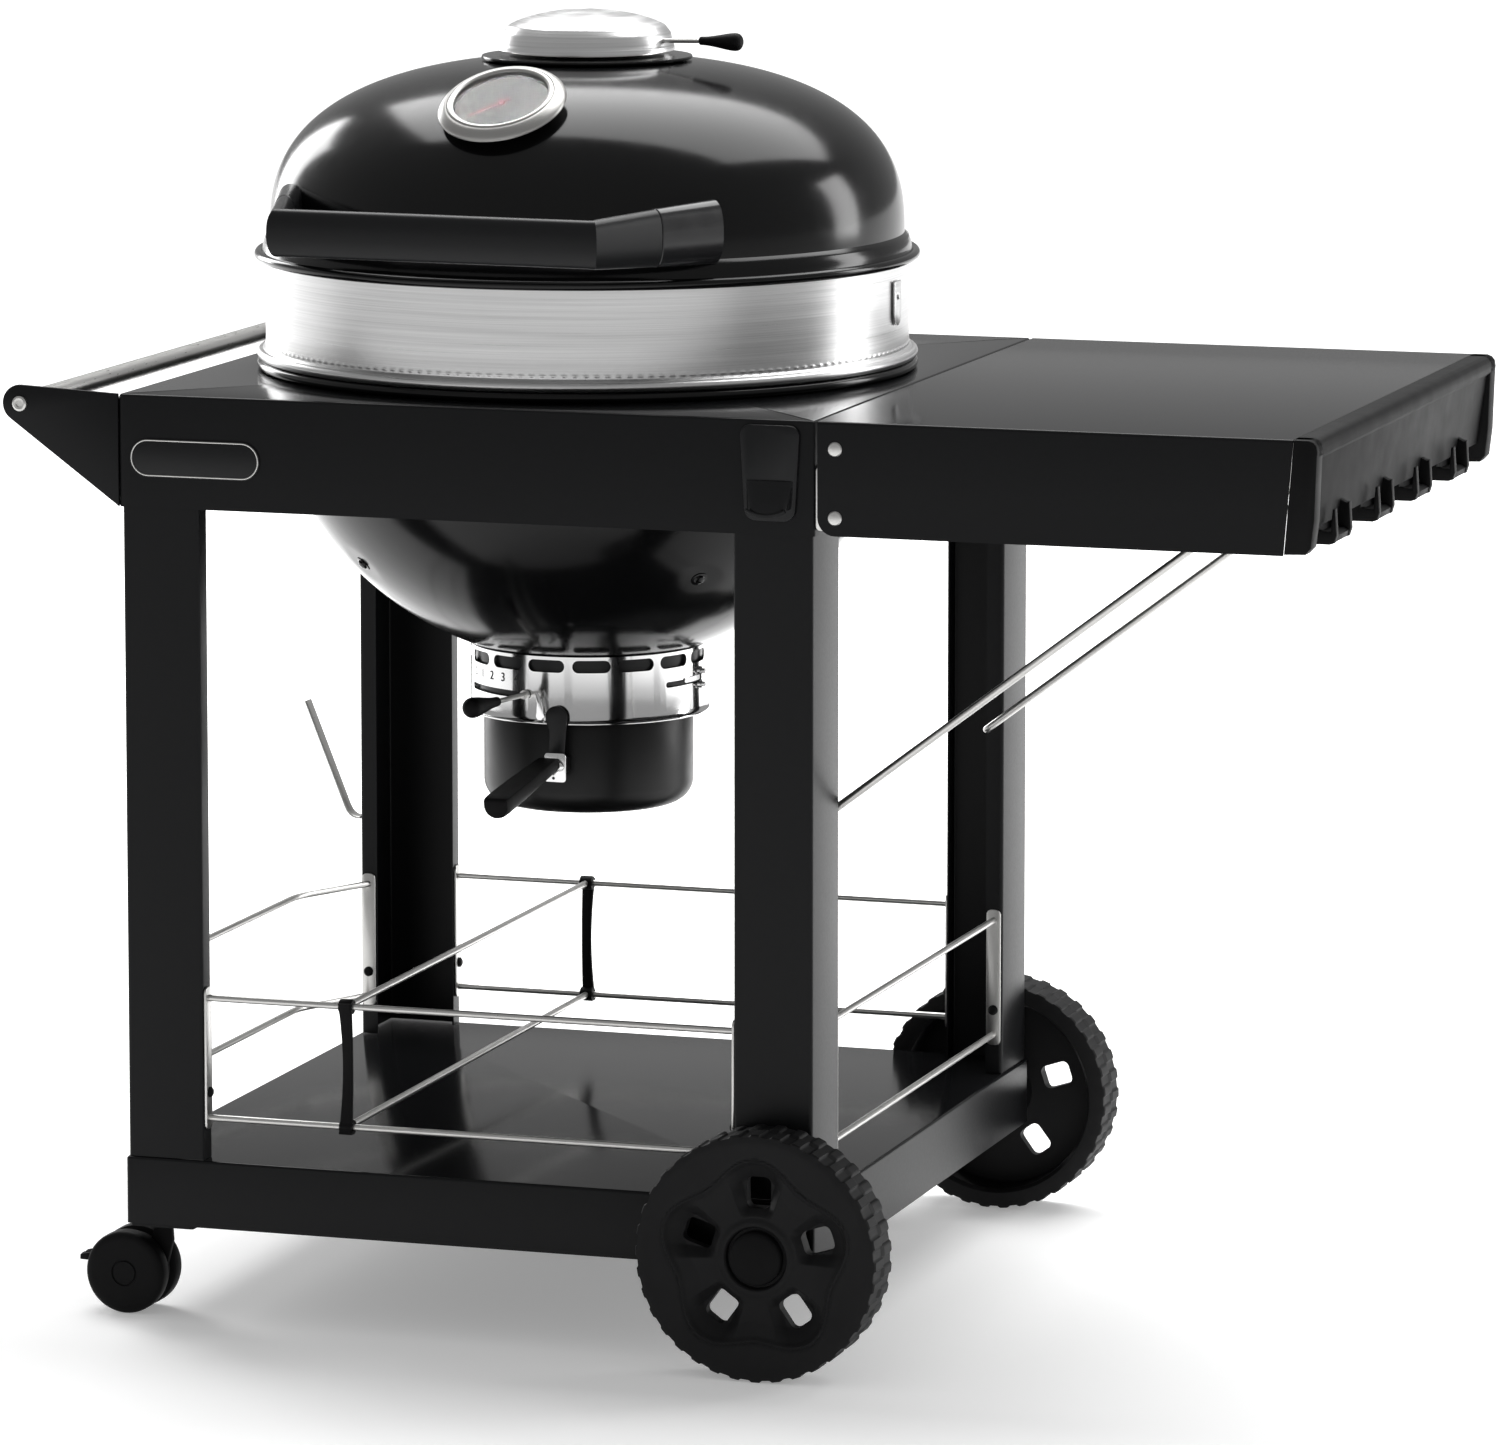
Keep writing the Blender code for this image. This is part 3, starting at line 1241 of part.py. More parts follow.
for along, end in ((FRONT, "front"), (REAR, "rear")):
    near, far = sorted((along * (HALF_Y - SHEET - 0.0010), along * (HALF_Y - SHEET - 0.0035)))
    bracket = box(
        f"shelf_bracket_{end}",
        (HALF_X + GAP, near, PIN_Z - 0.012),
        (PIN_X + 0.012, far, PIN_Z + 0.044),
        BRUSHED,
        "cart",
    )
    near, far = sorted((along * (HALF_Y - SHEET - 0.0010), along * (HALF_Y - 0.035)))
    foot = ((HALF_X + GAP, near, PIN_Z - 0.012), (HALF_X + GAP + 0.0022, far, PIN_Z + 0.044))
    combine(bracket, "UNION", boxes(foot), "cart")
    head = along * (HALF_Y + 0.0005)
    combine(
        bracket,
        "UNION",
        cylinders(
            (
                (PIN_X, along * (HALF_Y - SHEET - 0.003), PIN_Z),
                (PIN_X, head + along * 0.001, PIN_Z),
                PIN_RADIUS,
            ),
            ((PIN_X, head, PIN_Z), (PIN_X, head + along * 0.0015, PIN_Z), 0.0063),
            segments=16,
        ),
        "cart",
    )

# ------------------------ wire brace and its keeper
body("shelf_brace", "cart", BRACE_FOOT)
hook_depth = LIP_FACE + 0.004
path = [
    (BRACE_FOOT.x, -hook_depth, BRACE_FOOT.z),
    (BRACE_FOOT.x, -BRACE_Y, BRACE_FOOT.z),
    (BRACE_BAR.x, -BRACE_Y, BRACE_BAR.z),
    (BRACE_BAR.x, BRACE_Y, BRACE_BAR.z),
    (BRACE_FOOT.x, BRACE_Y, BRACE_FOOT.z),
    (BRACE_FOOT.x, hook_depth, BRACE_FOOT.z),
]
wire("shelf_brace", rounded(path, 0.006), BRACE_WIRE, ROD_STEEL, "shelf_brace")
keeper_y = BRACE_Y * 0.55
wall_x = BRACE_BAR.x - BRACE_WIRE - 0.0010
keeper_outline = [
    (wall_x - 0.002, BRACE_BAR.z - 0.002),
    (wall_x, BRACE_BAR.z - 0.002),
    (wall_x, BRACE_BAR.z + BRACE_WIRE + 0.001),
    (wall_x + 0.012, BRACE_BAR.z + BRACE_WIRE + 0.001),
    (wall_x + 0.012, TABLE_UNDER - GAP),
    (wall_x - 0.002, TABLE_UNDER - GAP),
]
bm = bmesh.new()
add_outline(bm, keeper_outline, -keeper_y, keeper_y, FACING_FRONT)
mesh_object("brace_keeper", bm, BRUSHED, "side_shelf")
for along, end in ((FRONT, "front"), (REAR, "rear")):
    start, stop = [(BRACE_FOOT.x, along * (LIP_FACE + reach), BRACE_FOOT.z) for reach in (-0.01, 0.01)]
    hole = cylinders((start, stop, BRACE_WIRE + 0.0005), segments=12)
    combine(bpy.data.objects[f"leg_{end}_right"], "DIFFERENCE", hole, "cart")

# ------------------------ axle and wheels
cylinder(
    "axle",
    (AXLE_X, -WHEEL_OUTER + 0.012, WHEEL_RADIUS),
    (AXLE_X, WHEEL_OUTER - 0.012, WHEEL_RADIUS),
    AXLE_RADIUS,
    POLISHED,
    "cart",
    segments=16,
)
for along, end in ((FRONT, "front"), (REAR, "rear")):
    name = f"wheel_{end}"
    body(name, "cart", (AXLE_X, along * WHEEL_INNER, WHEEL_RADIUS))
    place = Matrix.Translation((AXLE_X, along * WHEEL_INNER, WHEEL_RADIUS)) @ Matrix.Rotation(
        math.pi / 2 if along == FRONT else -math.pi / 2, 4, "X"
    )
    web = 0.026  # the web's outer face from the wheel's inner side
    bore = AXLE_RADIUS + 0.0005
    profile = [
        (bore, WHEEL_WIDTH - 0.008),
        (0.026, WHEEL_WIDTH - 0.008),
        (0.030, web + 0.004),
        (0.082, web + 0.004),
        (0.088, WHEEL_WIDTH),
        (WHEEL_RADIUS - 0.004, WHEEL_WIDTH),
        (WHEEL_RADIUS, WHEEL_WIDTH - 0.005),
        (WHEEL_RADIUS, 0.005),
        (WHEEL_RADIUS - 0.004, 0.0),
        (0.088, 0.0),
        (0.085, web - 0.004),
        (0.026, web - 0.004),
        (0.022, 0.0),
        (bore, 0.0),
    ]
    scale = WHEEL_RADIUS / 0.108
    inner = WHEEL_RADIUS - 0.02 * scale
    profile = [(r if r <= bore else r * scale if r < inner else r, z) for r, z in profile]
    wheel = turned(name, profile, MOULDED, name, 30, place)
    windows = []
    for number in range(5):
        turn = Matrix.Rotation(math.radians(90 + 72 * number), 4, "Z")
        windows.append(
            lambda bm, turn=turn: add_box(
                bm,
                (0.044 * scale, -0.010 * scale, -0.01),
                (0.068 * scale, 0.010 * scale, WHEEL_WIDTH + 0.01),
                turn,
            )
        )
    combine(wheel, "DIFFERENCE", windows, name, place)
    cap_profile = [
        (0, WHEEL_WIDTH + CAP_PROUD),
        (0.018, WHEEL_WIDTH + CAP_PROUD - 0.001),
        (0.0245, WHEEL_WIDTH - 0.003),
        (0.0245, WHEEL_WIDTH - 0.008 + GAP),
        (0, WHEEL_WIDTH - 0.008 + GAP),
    ]
    turned(f"wheel_cap_{end}", cap_profile, MOULDED, name, 24, place)

# ------------------------ latch that holds the bucket's strap
LATCH = Vector((-0.0062, -COLLAR_RADIUS, collar_bottom + 0.009))
body("bucket_latch", "cart", LATCH)
latch_pin = 0.002
combine(
    collar,
    "DIFFERENCE",
    cylinders(
        (LATCH + Vector((0, -0.006, 0)), LATCH + Vector((0, 0.006, 0)), latch_pin + 0.0005),
        segments=12,
    ),
    "cart",
)
latch_out = -clear_y + 0.002 + GAP
outline = arc((LATCH.x, LATCH.z), 0.0042, 180, 360, 6)
outline += [
    (LATCH.x + 0.0042, LATCH.z + 0.018),
    (LATCH.x + 0.001, LATCH.z + 0.022),
    (LATCH.x - 0.0042, LATCH.z + 0.018),
]
bm = bmesh.new()
add_outline(bm, outline, latch_out, latch_out + 0.0018, FACING_FRONT)
latch = mesh_object("bucket_latch", bm, POLISHED, "bucket_latch")
combine(
    latch,
    "UNION",
    cylinders(
        ((LATCH.x, -latch_out - 0.001, LATCH.z), (LATCH.x, -COLLAR_RADIUS + 0.006, LATCH.z), latch_pin),
        segments=12,
    ),
    "bucket_latch",
)

# ------------------------ casters: hood with its stem, twin wheel, brake pedal
for along, end in ((FRONT, "front"), (REAR, "rear")):
    swivel, roll, brake = f"caster_{end}_swivel", f"caster_{end}_wheel", f"caster_{end}_brake"
    middle_y = along * CASTER_Y
    stem = Vector((CASTER_X, middle_y, DECK_BOTTOM - 0.0025 - GAP))
    hub = Vector((CASTER_X - CASTER_TRAIL, middle_y, CASTER_RADIUS))
    pedal_pin = hub + Vector((-0.014, 0, 0.019))
    body(swivel, "cart", stem)
    body(roll, swivel, hub)
    body(brake, swivel, pedal_pin)
    hood_half, wheel_inner, wheel_half = 0.0030, 0.0072, CASTER_WIDTH / 2
    reach = CASTER_RADIUS - 0.004
    outline = arc((hub.x, hub.z), reach, 140, 60, 8)
    outline += [
        (stem.x - 0.008, stem.z - 0.008),
        (stem.x + 0.008, stem.z - 0.008),
        (stem.x + 0.009, stem.z - 0.020),
    ]
    outline += arc((hub.x, hub.z), reach, 10, -20, 4)
    outline += [(hub.x, hub.z - 0.012), (hub.x - 0.011, hub.z - 0.002)]
    bm = bmesh.new()
    add_outline(bm, outline[::-1], -middle_y - hood_half, -middle_y + hood_half, FACING_FRONT)
    hood = mesh_object(f"caster_{end}_hood", bm, MOULDED, swivel)
    combine(
        hood,
        "UNION",
        cylinders((stem + Vector((0, 0, -0.0095)), stem, 0.0085), segments=16),
        swivel,
    )
    combine(
        hood,
        "DIFFERENCE",
        cylinders(
            (hub + Vector((0, -0.01, 0)), hub + Vector((0, 0.01, 0)), 0.0062),
            (pedal_pin + Vector((0, -0.01, 0)), pedal_pin + Vector((0, 0.01, 0)), 0.0021),
            segments=12,
        ),
        swivel,
    )
    disc = [
        (CASTER_RADIUS - 0.005, wheel_half),
        (CASTER_RADIUS, wheel_half - 0.004),
        (CASTER_RADIUS, wheel_inner + 0.001),
        (CASTER_RADIUS - 0.001, wheel_inner),
        (0.0055, wheel_inner),
    ]
    profile = [(0, wheel_half)] + disc + [(r, -z) for r, z in reversed(disc)] + [(0, -wheel_half)]
    upright = Matrix.Translation(hub) @ Matrix.Rotation(math.pi / 2, 4, "X")
    turned(f"caster_{end}_wheel", profile, MOULDED, roll, 20, upright)
    tip_x, low_z = hub.x - CASTER_RADIUS - 0.0105, hub.z + 0.006
    outline = [
        (tip_x, low_z + 0.001),
        (tip_x + 0.001, low_z),
        (hub.x - CASTER_RADIUS + 0.004, low_z),
        (pedal_pin.x - 0.002, pedal_pin.z - 0.005),
    ]
    outline += arc((pedal_pin.x, pedal_pin.z), 0.0042, -60, 120, 6)
    outline += [(hub.x - CASTER_RADIUS - 0.001, low_z + 0.009), (tip_x, low_z + 0.005)]
    bm = bmesh.new()
    add_outline(bm, outline, -middle_y - 0.0060, -middle_y + 0.0060, FACING_FRONT)
    pedal = mesh_object(f"caster_{end}_brake", bm, MOULDED, brake)
    fork = hub.x - reach - 0.0008
    combine(
        pedal,
        "DIFFERENCE",
        boxes(
            (
                (fork, middle_y - hood_half - 0.0004, hub.z - 0.01),
                (hub.x, middle_y + hood_half + 0.0004, hub.z + 0.06),
            )
        ),
        brake,
    )
    combine(
        pedal,
        "UNION",
        cylinders(
            (
                pedal_pin + Vector((0, -0.0045, 0)),
                pedal_pin + Vector((0, 0.0045, 0)),
                0.0016,
            ),
            (
                Vector((tip_x + 0.004, middle_y - 0.011, low_z + 0.0030)),
                Vector((tip_x + 0.004, middle_y + 0.011, low_z + 0.0030)),
                0.0028,
            ),
            segments=12,
        ),
        brake,
    )
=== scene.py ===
"""Kettle charcoal grill on its cart: the finished looks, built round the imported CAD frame.

Metres, +Z up, the front towards -Y and the side shelf towards +X, in the CAD's own frame. Each section makes one piece,
or a group of like pieces, and its places come from the CAD nodes' boxes.
"""

import math

import bmesh
import bpy
import numpy as np
from mathutils import Matrix, Vector


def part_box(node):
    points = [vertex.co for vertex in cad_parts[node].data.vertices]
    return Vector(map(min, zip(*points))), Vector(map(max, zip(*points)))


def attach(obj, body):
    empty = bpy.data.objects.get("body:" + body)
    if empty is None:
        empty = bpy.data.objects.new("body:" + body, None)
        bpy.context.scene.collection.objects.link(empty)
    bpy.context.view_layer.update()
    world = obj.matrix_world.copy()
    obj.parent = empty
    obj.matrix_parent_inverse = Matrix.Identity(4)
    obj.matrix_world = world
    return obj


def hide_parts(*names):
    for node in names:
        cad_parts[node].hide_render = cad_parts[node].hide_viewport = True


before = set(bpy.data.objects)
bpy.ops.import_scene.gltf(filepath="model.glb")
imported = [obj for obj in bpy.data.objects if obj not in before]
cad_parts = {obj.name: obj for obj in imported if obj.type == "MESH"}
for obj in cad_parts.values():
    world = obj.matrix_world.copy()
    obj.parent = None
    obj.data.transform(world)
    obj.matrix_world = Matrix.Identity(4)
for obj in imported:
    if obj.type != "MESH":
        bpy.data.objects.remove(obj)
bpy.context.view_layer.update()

# ---------------------------------------------------------------- camera, floor and studio light
# A long lens looks at the front from the right and a little above. The floor is a plain white sweep under one large
# softbox overhead, with a narrow one on each side for the highlights down the enamel and round the steel ring.


class Wire:
    """A shader socket. Arithmetic on it adds Math nodes, and node() adds any other node."""

    def __init__(self, tree, socket=None):
        self.tree, self.socket = tree, socket

    def node(self, kind, settings=None, inputs=None, out=0):
        """Adds a node: its settings first, where stops are a ramp's (place, grey) pairs, then its sockets."""
        made = self.tree.nodes.new("ShaderNode" + kind)
        for key, value in (settings or {}).items():
            if key == "stops":
                steps = made.color_ramp.elements
                for index, (place, grey) in enumerate(value):
                    step = steps[index] if index < len(steps) else steps.new(place)
                    step.position, step.color = place, (grey, grey, grey, 1)
            else:
                setattr(made, key, value)
        for key, value in (inputs or {}).items():
            if isinstance(value, Wire):
                self.tree.links.new(value.socket, made.inputs[key])
            else:
                made.inputs[key].default_value = value
        return Wire(self.tree, made.outputs[out])

    def __add__(self, other):
        return self.node("Math", {"operation": "ADD"}, {0: self, 1: other})

    def __sub__(self, other):
        return self.node("Math", {"operation": "SUBTRACT"}, {0: self, 1: other})

    def __rsub__(self, other):
        return self.node("Math", {"operation": "SUBTRACT"}, {0: other, 1: self})

    def __mul__(self, other):
        return self.node("Math", {"operation": "MULTIPLY"}, {0: self, 1: other})

    __radd__, __rmul__ = __add__, __mul__

    def noise(self, scale, detail=2.0, stretch=(1, 1, 1)):
        """Noise on these coordinates, whose patches are 1 / scale metres across before each axis is stretched."""
        spread = self.node("Mapping", None, {"Vector": self, "Scale": stretch})
        return self.node("TexNoise", None, {"Vector": spread, "Scale": scale, "Detail": detail})

    def between(self, low, high):
        """This 0 to 1 value spread over low to high."""
        return self.node("MapRange", None, {"Value": self, "To Min": low, "To Max": high})


def finish(name, colour, roughness, metallic=0.0, **others):
    """A material with a Principled shader: returns it, its Object coordinates, and a feed that links to its sockets."""
    material = bpy.data.materials.new(name)
    material.use_nodes = True
    tree = material.node_tree
    shader = tree.nodes["Principled BSDF"]
    values = {"Base Color": (*colour, 1), "Roughness": roughness, "Metallic": metallic, **others}
    for key, value in values.items():
        shader.inputs[key].default_value = value
    coords = Wire(tree).node("TexCoord", out=3)

    def feed(**wires):
        for key, wire in wires.items():
            tree.links.new(wire.socket, shader.inputs[key.replace("_", " ")])

    return material, coords, feed


def grained(coords, height, strength, distance=0.0004):
    """A bump from this height."""
    return coords.node("Bump", None, {"Strength": strength, "Distance": distance, "Height": height})


camera = bpy.data.objects.new("camera", bpy.data.cameras.new("camera"))
camera.location = (2.24995, -6.9748, 1.6805)
camera.rotation_euler = (math.radians(90 - 7.542), 0, math.radians(17.967))
camera.data.sensor_width = 36
camera.data.lens = 198.8
camera.data.shift_y = -0.15
camera.data.clip_end = 200
bpy.context.scene.collection.objects.link(camera)
bpy.context.scene.camera = camera
bpy.context.scene.view_settings.view_transform = "Standard"

floor_mesh = bpy.data.meshes.new("floor")
floor_mesh.from_pydata([(-60, -60, 0), (60, -60, 0), (60, 60, 0), (-60, 60, 0)], [], [(0, 1, 2, 3)])
floor_finish, coords, feed = finish("floor_white", (0.92, 0.92, 0.92), 0.9, **{"Emission Strength": 1.0})
away = coords.node("VectorMath", {"operation": "DOT_PRODUCT"}, {0: coords, 1: (-0.308, 0.951, 0.0)}, out=1)
feed(Emission_Color=away.node("MapRange", None, {0: away, 1: 0.6, 2: 4.0, 3: 0.26, 4: 1.0}))
floor_mesh.materials.append(floor_finish)
floor = bpy.data.objects.new("floor", floor_mesh)
bpy.context.scene.collection.objects.link(floor)

world = bpy.data.worlds.new("studio")
world.use_nodes = True
world.node_tree.nodes["Background"].inputs["Color"].default_value = (1, 1, 1, 1)
world.node_tree.nodes["Background"].inputs["Strength"].default_value = 0.34
bpy.context.scene.world = world
for place, aim, size, power in (
    ((0.0, 2.2, 5.0), (0, 0, 0.3), (7.0, 4.0), 430),
    ((-4.2, 3.0, 1.9), (0, 0, 0.7), (1.6, 2.8), 110),
    ((4.4, 3.2, 1.9), (0, 0, 0.7), (1.4, 2.8), 90),
):
    softbox = bpy.data.lights.new("softbox", "AREA")
    softbox.shape = "RECTANGLE"
    softbox.size, softbox.size_y = size
    softbox.energy = power
    lamp = bpy.data.objects.new("softbox", softbox)
    lamp.location = place
    lamp.rotation_euler = (Vector(aim) - Vector(place)).to_track_quat("-Z", "Y").to_euler()
    bpy.context.scene.collection.objects.link(lamp)


# ---------------------------------------------------------------- deck pan
# The cart's lowest shelf: a tray of 2 mm steel sheet with its skirts folded down and a smooth black powder coat, and a
# thicker plate welded under each left corner for a caster.
powder_coat, coords, feed = finish("powder_coat", (0.0070, 0.0072, 0.0078), 0.34, **{"Specular IOR Level": 0.14})
facing = coords.node("SeparateXYZ", None, {0: coords.node("TexCoord", out=1)}, out=2)
topness = facing.node("MapRange", None, {"Value": facing, "From Min": 0.6, "From Max": 0.95})
orange_peel = coords.noise(420, 1.0)
feed(
    Roughness=topness * -0.20 + orange_peel.between(0.30, 0.38),
    Normal=grained(coords, orange_peel, 0.035, 0.0003),
)


def shell(points, ring=True, ends=True):
    """(vertices, faces) of a surface through a grid of points, in rows. ring joins each row's last point to its first,
    and ends closes the first and last rows with one flat face each."""
    rows, columns = points.shape[:2]
    index = np.arange(rows * columns).reshape(rows, columns)
    round_index = np.hstack([index, index[:, :1]]) if ring else index
    quads = np.stack(
        [round_index[:-1, :-1], round_index[:-1, 1:], round_index[1:, 1:], round_index[1:, :-1]], -1
    ).reshape(-1, 4)
    caps = [index[0, ::-1].tolist(), index[-1].tolist()] if ends else []
    return points.reshape(-1, 3), quads.tolist() + caps


def mesh_of(name, shells, material=None, angle=32.0):
    """One mesh from shells, with its doubles merged, its faces turned outwards and its sharp edges kept sharp."""
    vertices, faces, start = [], [], 0
    for points, quads in shells:
        vertices.append(points)
        faces += [[corner + start for corner in quad] for quad in quads]
        start += len(points)
    mesh = bpy.data.meshes.new(name)
    mesh.from_pydata(np.vstack(vertices), [], faces)
    bm = bmesh.new()
    bm.from_mesh(mesh)
    bmesh.ops.remove_doubles(bm, verts=bm.verts, dist=2e-6)
    bmesh.ops.recalc_face_normals(bm, faces=bm.faces)
    bm.to_mesh(mesh)
    bm.free()
    mesh.shade_smooth()
    mesh.set_sharp_from_angle(angle=math.radians(angle))
    if material:
        mesh.materials.append(material)
    return mesh


def piece(name, shells, material, body, replaces=(), angle=32.0, cutters=()):
    """A new piece of the object: shells in one mesh, less any cutters, that rides on a CAD body."""
    obj = bpy.data.objects.new(name, mesh_of(name, shells, material, angle))
    bpy.context.scene.collection.objects.link(obj)
    if cutters:
        tool = bpy.data.objects.new(name + "_tool", mesh_of(name + "_tool", cutters))
        bpy.context.scene.collection.objects.link(tool)
        hole = obj.modifiers.new("holes", "BOOLEAN")
        hole.operation, hole.solver, hole.object = "DIFFERENCE", "EXACT", tool
        graph = bpy.context.evaluated_depsgraph_get()
        cut = bpy.data.meshes.new_from_object(obj.evaluated_get(graph))
        cut.set_sharp_from_angle(angle=math.radians(angle))
        obj.modifiers.clear()
        obj.data = cut
        bpy.data.objects.remove(tool)
    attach(obj, body)
    if replaces:
        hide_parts(*replaces)
    return obj


def corners_of(node):
    """The node's lowest and highest corners as arrays."""
    low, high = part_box(node)
    return np.array(low), np.array(high)


def arc(centre, radius, start, end, steps):
    """Points of a circle from one angle to another, in degrees: centre + radius (cos, sin)."""
    turn = np.radians(np.linspace(start, end, steps + 1))
    return np.stack([centre[0] + radius * np.cos(turn), centre[1] + radius * np.sin(turn)], 1)


def round_box(half_u, half_v, radius, steps=5):
    """The outline of a rectangle about the origin with round corners: one quarter circle at each corner in turn."""
    corners = [(1, 1, 0), (-1, 1, 90), (-1, -1, 180), (1, -1, 270)]
    return np.vstack(
        [arc((u * (half_u - radius), v * (half_v - radius)), radius, a, a + 90, steps) for u, v, a in corners]
    )


def inset(outline, amount):
    """A closed outline moved inwards: each point goes along the mean of its two edges' normals, stretched by the
    mitre, so that both edges move by the amount. The outline runs anticlockwise."""
    before, after = outline - np.roll(outline, 1, 0), np.roll(outline, -1, 0) - outline
    before /= np.maximum(np.linalg.norm(before, axis=1, keepdims=True), 1e-12)
    after /= np.maximum(np.linalg.norm(after, axis=1, keepdims=True), 1e-12)
    inward = np.stack([-(before + after)[:, 1], (before + after)[:, 0]], 1)
    return outline + amount * 2 * inward / np.maximum((inward**2).sum(1, keepdims=True), 0.4)


def layered(outline, layers):
    """A grid of rows, each the outline moved inwards and lifted, from (inward, height) pairs."""
    return np.stack([np.column_stack([inset(outline, i), np.full(len(outline), h)]) for i, h in layers])


def laid(points, origin, u, v, w):
    """Points (a, b, c) placed at origin + a u + b v + c w."""
    return np.asarray(origin) + points @ np.array([u, v, w], float)


SHEET = 0.002
EDGE = [(0.0, 1.0), (0.076, 0.617), (0.293, 0.293), (0.617, 0.076), (1.0, 0.0)]  # a quarter round, in radii


def pan(half_x, half_y, low, top, bend=0.0025):
    """A shallow tray upside down: a row up the inside of the skirt, round its foot, up the outside, round the bend
    (a quarter circle) and onto the top, each row a round-cornered rectangle."""
    outline = round_box(half_x, half_y, 0.004, 4)
    rows = [(SHEET, top - SHEET), (SHEET, low), (0.0, low), (0.0, top - bend)]
    rows += [(bend * inward, top - bend * down) for inward, down in EDGE]
    return layered(outline, rows)


low, high = corners_of("deck_pan")
CENTRE_X = (low[0] + high[0]) / 2
half_x, half_y = (high[0] - low[0]) / 2, (high[1] - low[1]) / 2
deck_top = high[2]
deck_low = low[2] + 0.0025
plates = []
for side in (-1, 1):
    outline = round_box(0.0300, 0.0355, 0.003, 3)
    rows = layered(outline, [(0.0006, 0), (0, 0.0006), (0, 0.0022), (0.0003, 0.0026)])
    place = (low[0] + 0.0335, side * (half_y - 0.0360), low[2])
    plates.append(shell(laid(rows, place, (1, 0, 0), (0, 1, 0), (0, 0, 1))))
tray = pan(half_x, half_y, deck_low, deck_top) + np.array([CENTRE_X, 0, 0])
piece("deck_tray", [shell(tray)] + plates, powder_coat, "cart", ["deck_pan"])

# ---------------------------------------------------------------- legs
# Four channels of 1.6 mm sheet, each with a wide web to the front or rear, a deep flange down the cart's side with its
# edge turned in, and a shallow flange inside. They are bolted to the deck and the table.
BEND = np.array([0.0, 0.25, 0.5, 0.75, 1.0])


def rounded(points, radius):
    """A path with each corner replaced by a curve: a parabola between points one radius before and after it."""
    points = np.asarray(points, float)
    before, corner, after = points[:-2], points[1:-1], points[2:]
    back, ahead = before - corner, after - corner
    start = corner + back * np.minimum(radius / np.linalg.norm(back, axis=1, keepdims=True), 0.49)
    end = corner + ahead * np.minimum(radius / np.linalg.norm(ahead, axis=1, keepdims=True), 0.49)
    t = BEND[None, :, None]
    bends = start[:, None] * (1 - t) ** 2 + corner[:, None] * 2 * t * (1 - t) + end[:, None] * t**2
    return np.vstack([points[:1], bends.reshape(-1, points.shape[1]), points[-1:]])


def folded(path, thickness):
    """The closed outline of folded sheet: a path and the same path moved to its left by the thickness."""
    ahead = np.diff(path, axis=0)
    ahead /= np.linalg.norm(ahead, axis=1, keepdims=True)
    mean = np.vstack([ahead[:1], ahead[:-1] + ahead[1:], ahead[-1:]])
    mean /= (mean**2).sum(1, keepdims=True) / np.where(np.arange(len(mean)) % (len(mean) - 1) == 0, 1, 2)[:, None]
    left = np.stack([-mean[:, 1], mean[:, 0]], 1)
    return np.vstack([path, (path + left * thickness)[::-1]])


def extruded(outline, start, end):
    """A grid of two rows: the outline at two heights."""
    return np.stack([np.column_stack([outline, np.full(len(outline), h)]) for h in (start, end)])


LEG_SHEET, LEG_LIP, LEG_INNER = 0.0016, 0.016, 0.018
for end in ("front", "rear"):
    for side in ("left", "right"):
        low, high = corners_of(f"leg_{end}_{side}")
        across, along = (1 if side == "right" else -1), (1 if end == "rear" else -1)
        outer, inner = (high[0], low[0]) if across > 0 else (low[0], high[0])
        face, back = (high[1], low[1]) if along > 0 else (low[1], high[1])
        path = [
            (inner, face - along * LEG_INNER),
            (inner, face),
            (outer, face),
            (outer, back),
            (outer - across * LEG_LIP, back),
        ]
        turn = -1 if across * along > 0 else 1
        channel = folded(rounded(path, 0.0035), turn * LEG_SHEET)
        piece(
            f"leg_channel_{end}_{side}",
            [shell(extruded(channel, low[2], high[2]))],
            powder_coat,
            "cart",
            [f"leg_{end}_{side}"],
        )

# ---------------------------------------------------------------- table top
# The same sheet and powder coat as the deck: a pan with a deep skirt, and a round hole in which the kettle's rim rests.
# The hole's edge is plain, and the rows run from the skirt over the bend to a circle.


def subdivided(outline, parts):
    """A closed outline with each edge cut into equal parts: a + (b - a) s."""
    share = np.linspace(0, 1, parts + 1)[:-1, None]
    dense = np.vstack([a + (b - a) * share for a, b in zip(outline, np.roll(outline, -1, 0))])
    return dense[np.linalg.norm(dense - np.roll(dense, 1, 0), axis=1) > 1e-6]


low, high = corners_of("table_top")
ring_low, ring_high = corners_of("ring_band")
AXIS_X, RIM = (ring_low[0] + ring_high[0]) / 2, (ring_high[0] - ring_low[0]) / 2
AXIS_FOOT = (AXIS_X, 0, 0)
KETTLE = RIM - 0.008
table_top, table_low = high[2], low[2]
half_x, half_y = (high[0] - low[0]) / 2, (high[1] - low[1]) / 2
outline = round_box(half_x, half_y, 0.004, 4)
dense = subdivided(outline, 32)
bend = 0.0025
rows = [(SHEET, table_top - SHEET), (SHEET, table_low), (0, table_low), (0, table_top - bend)]
rows += [(bend * inward, table_top - bend * down) for inward, down in EDGE]
skirt = layered(dense, rows)
toward = dense / np.linalg.norm(dense, axis=1, keepdims=True) * (KETTLE + 0.0008)
rim = np.stack([np.column_stack([toward, np.full(len(dense), z)]) for z in (table_top, table_top - SHEET)])
table = np.vstack([skirt, rim, skirt[:1]]) + np.array(AXIS_FOOT)
piece("table", [shell(table, ends=False)], powder_coat, "cart", ["table_top"])

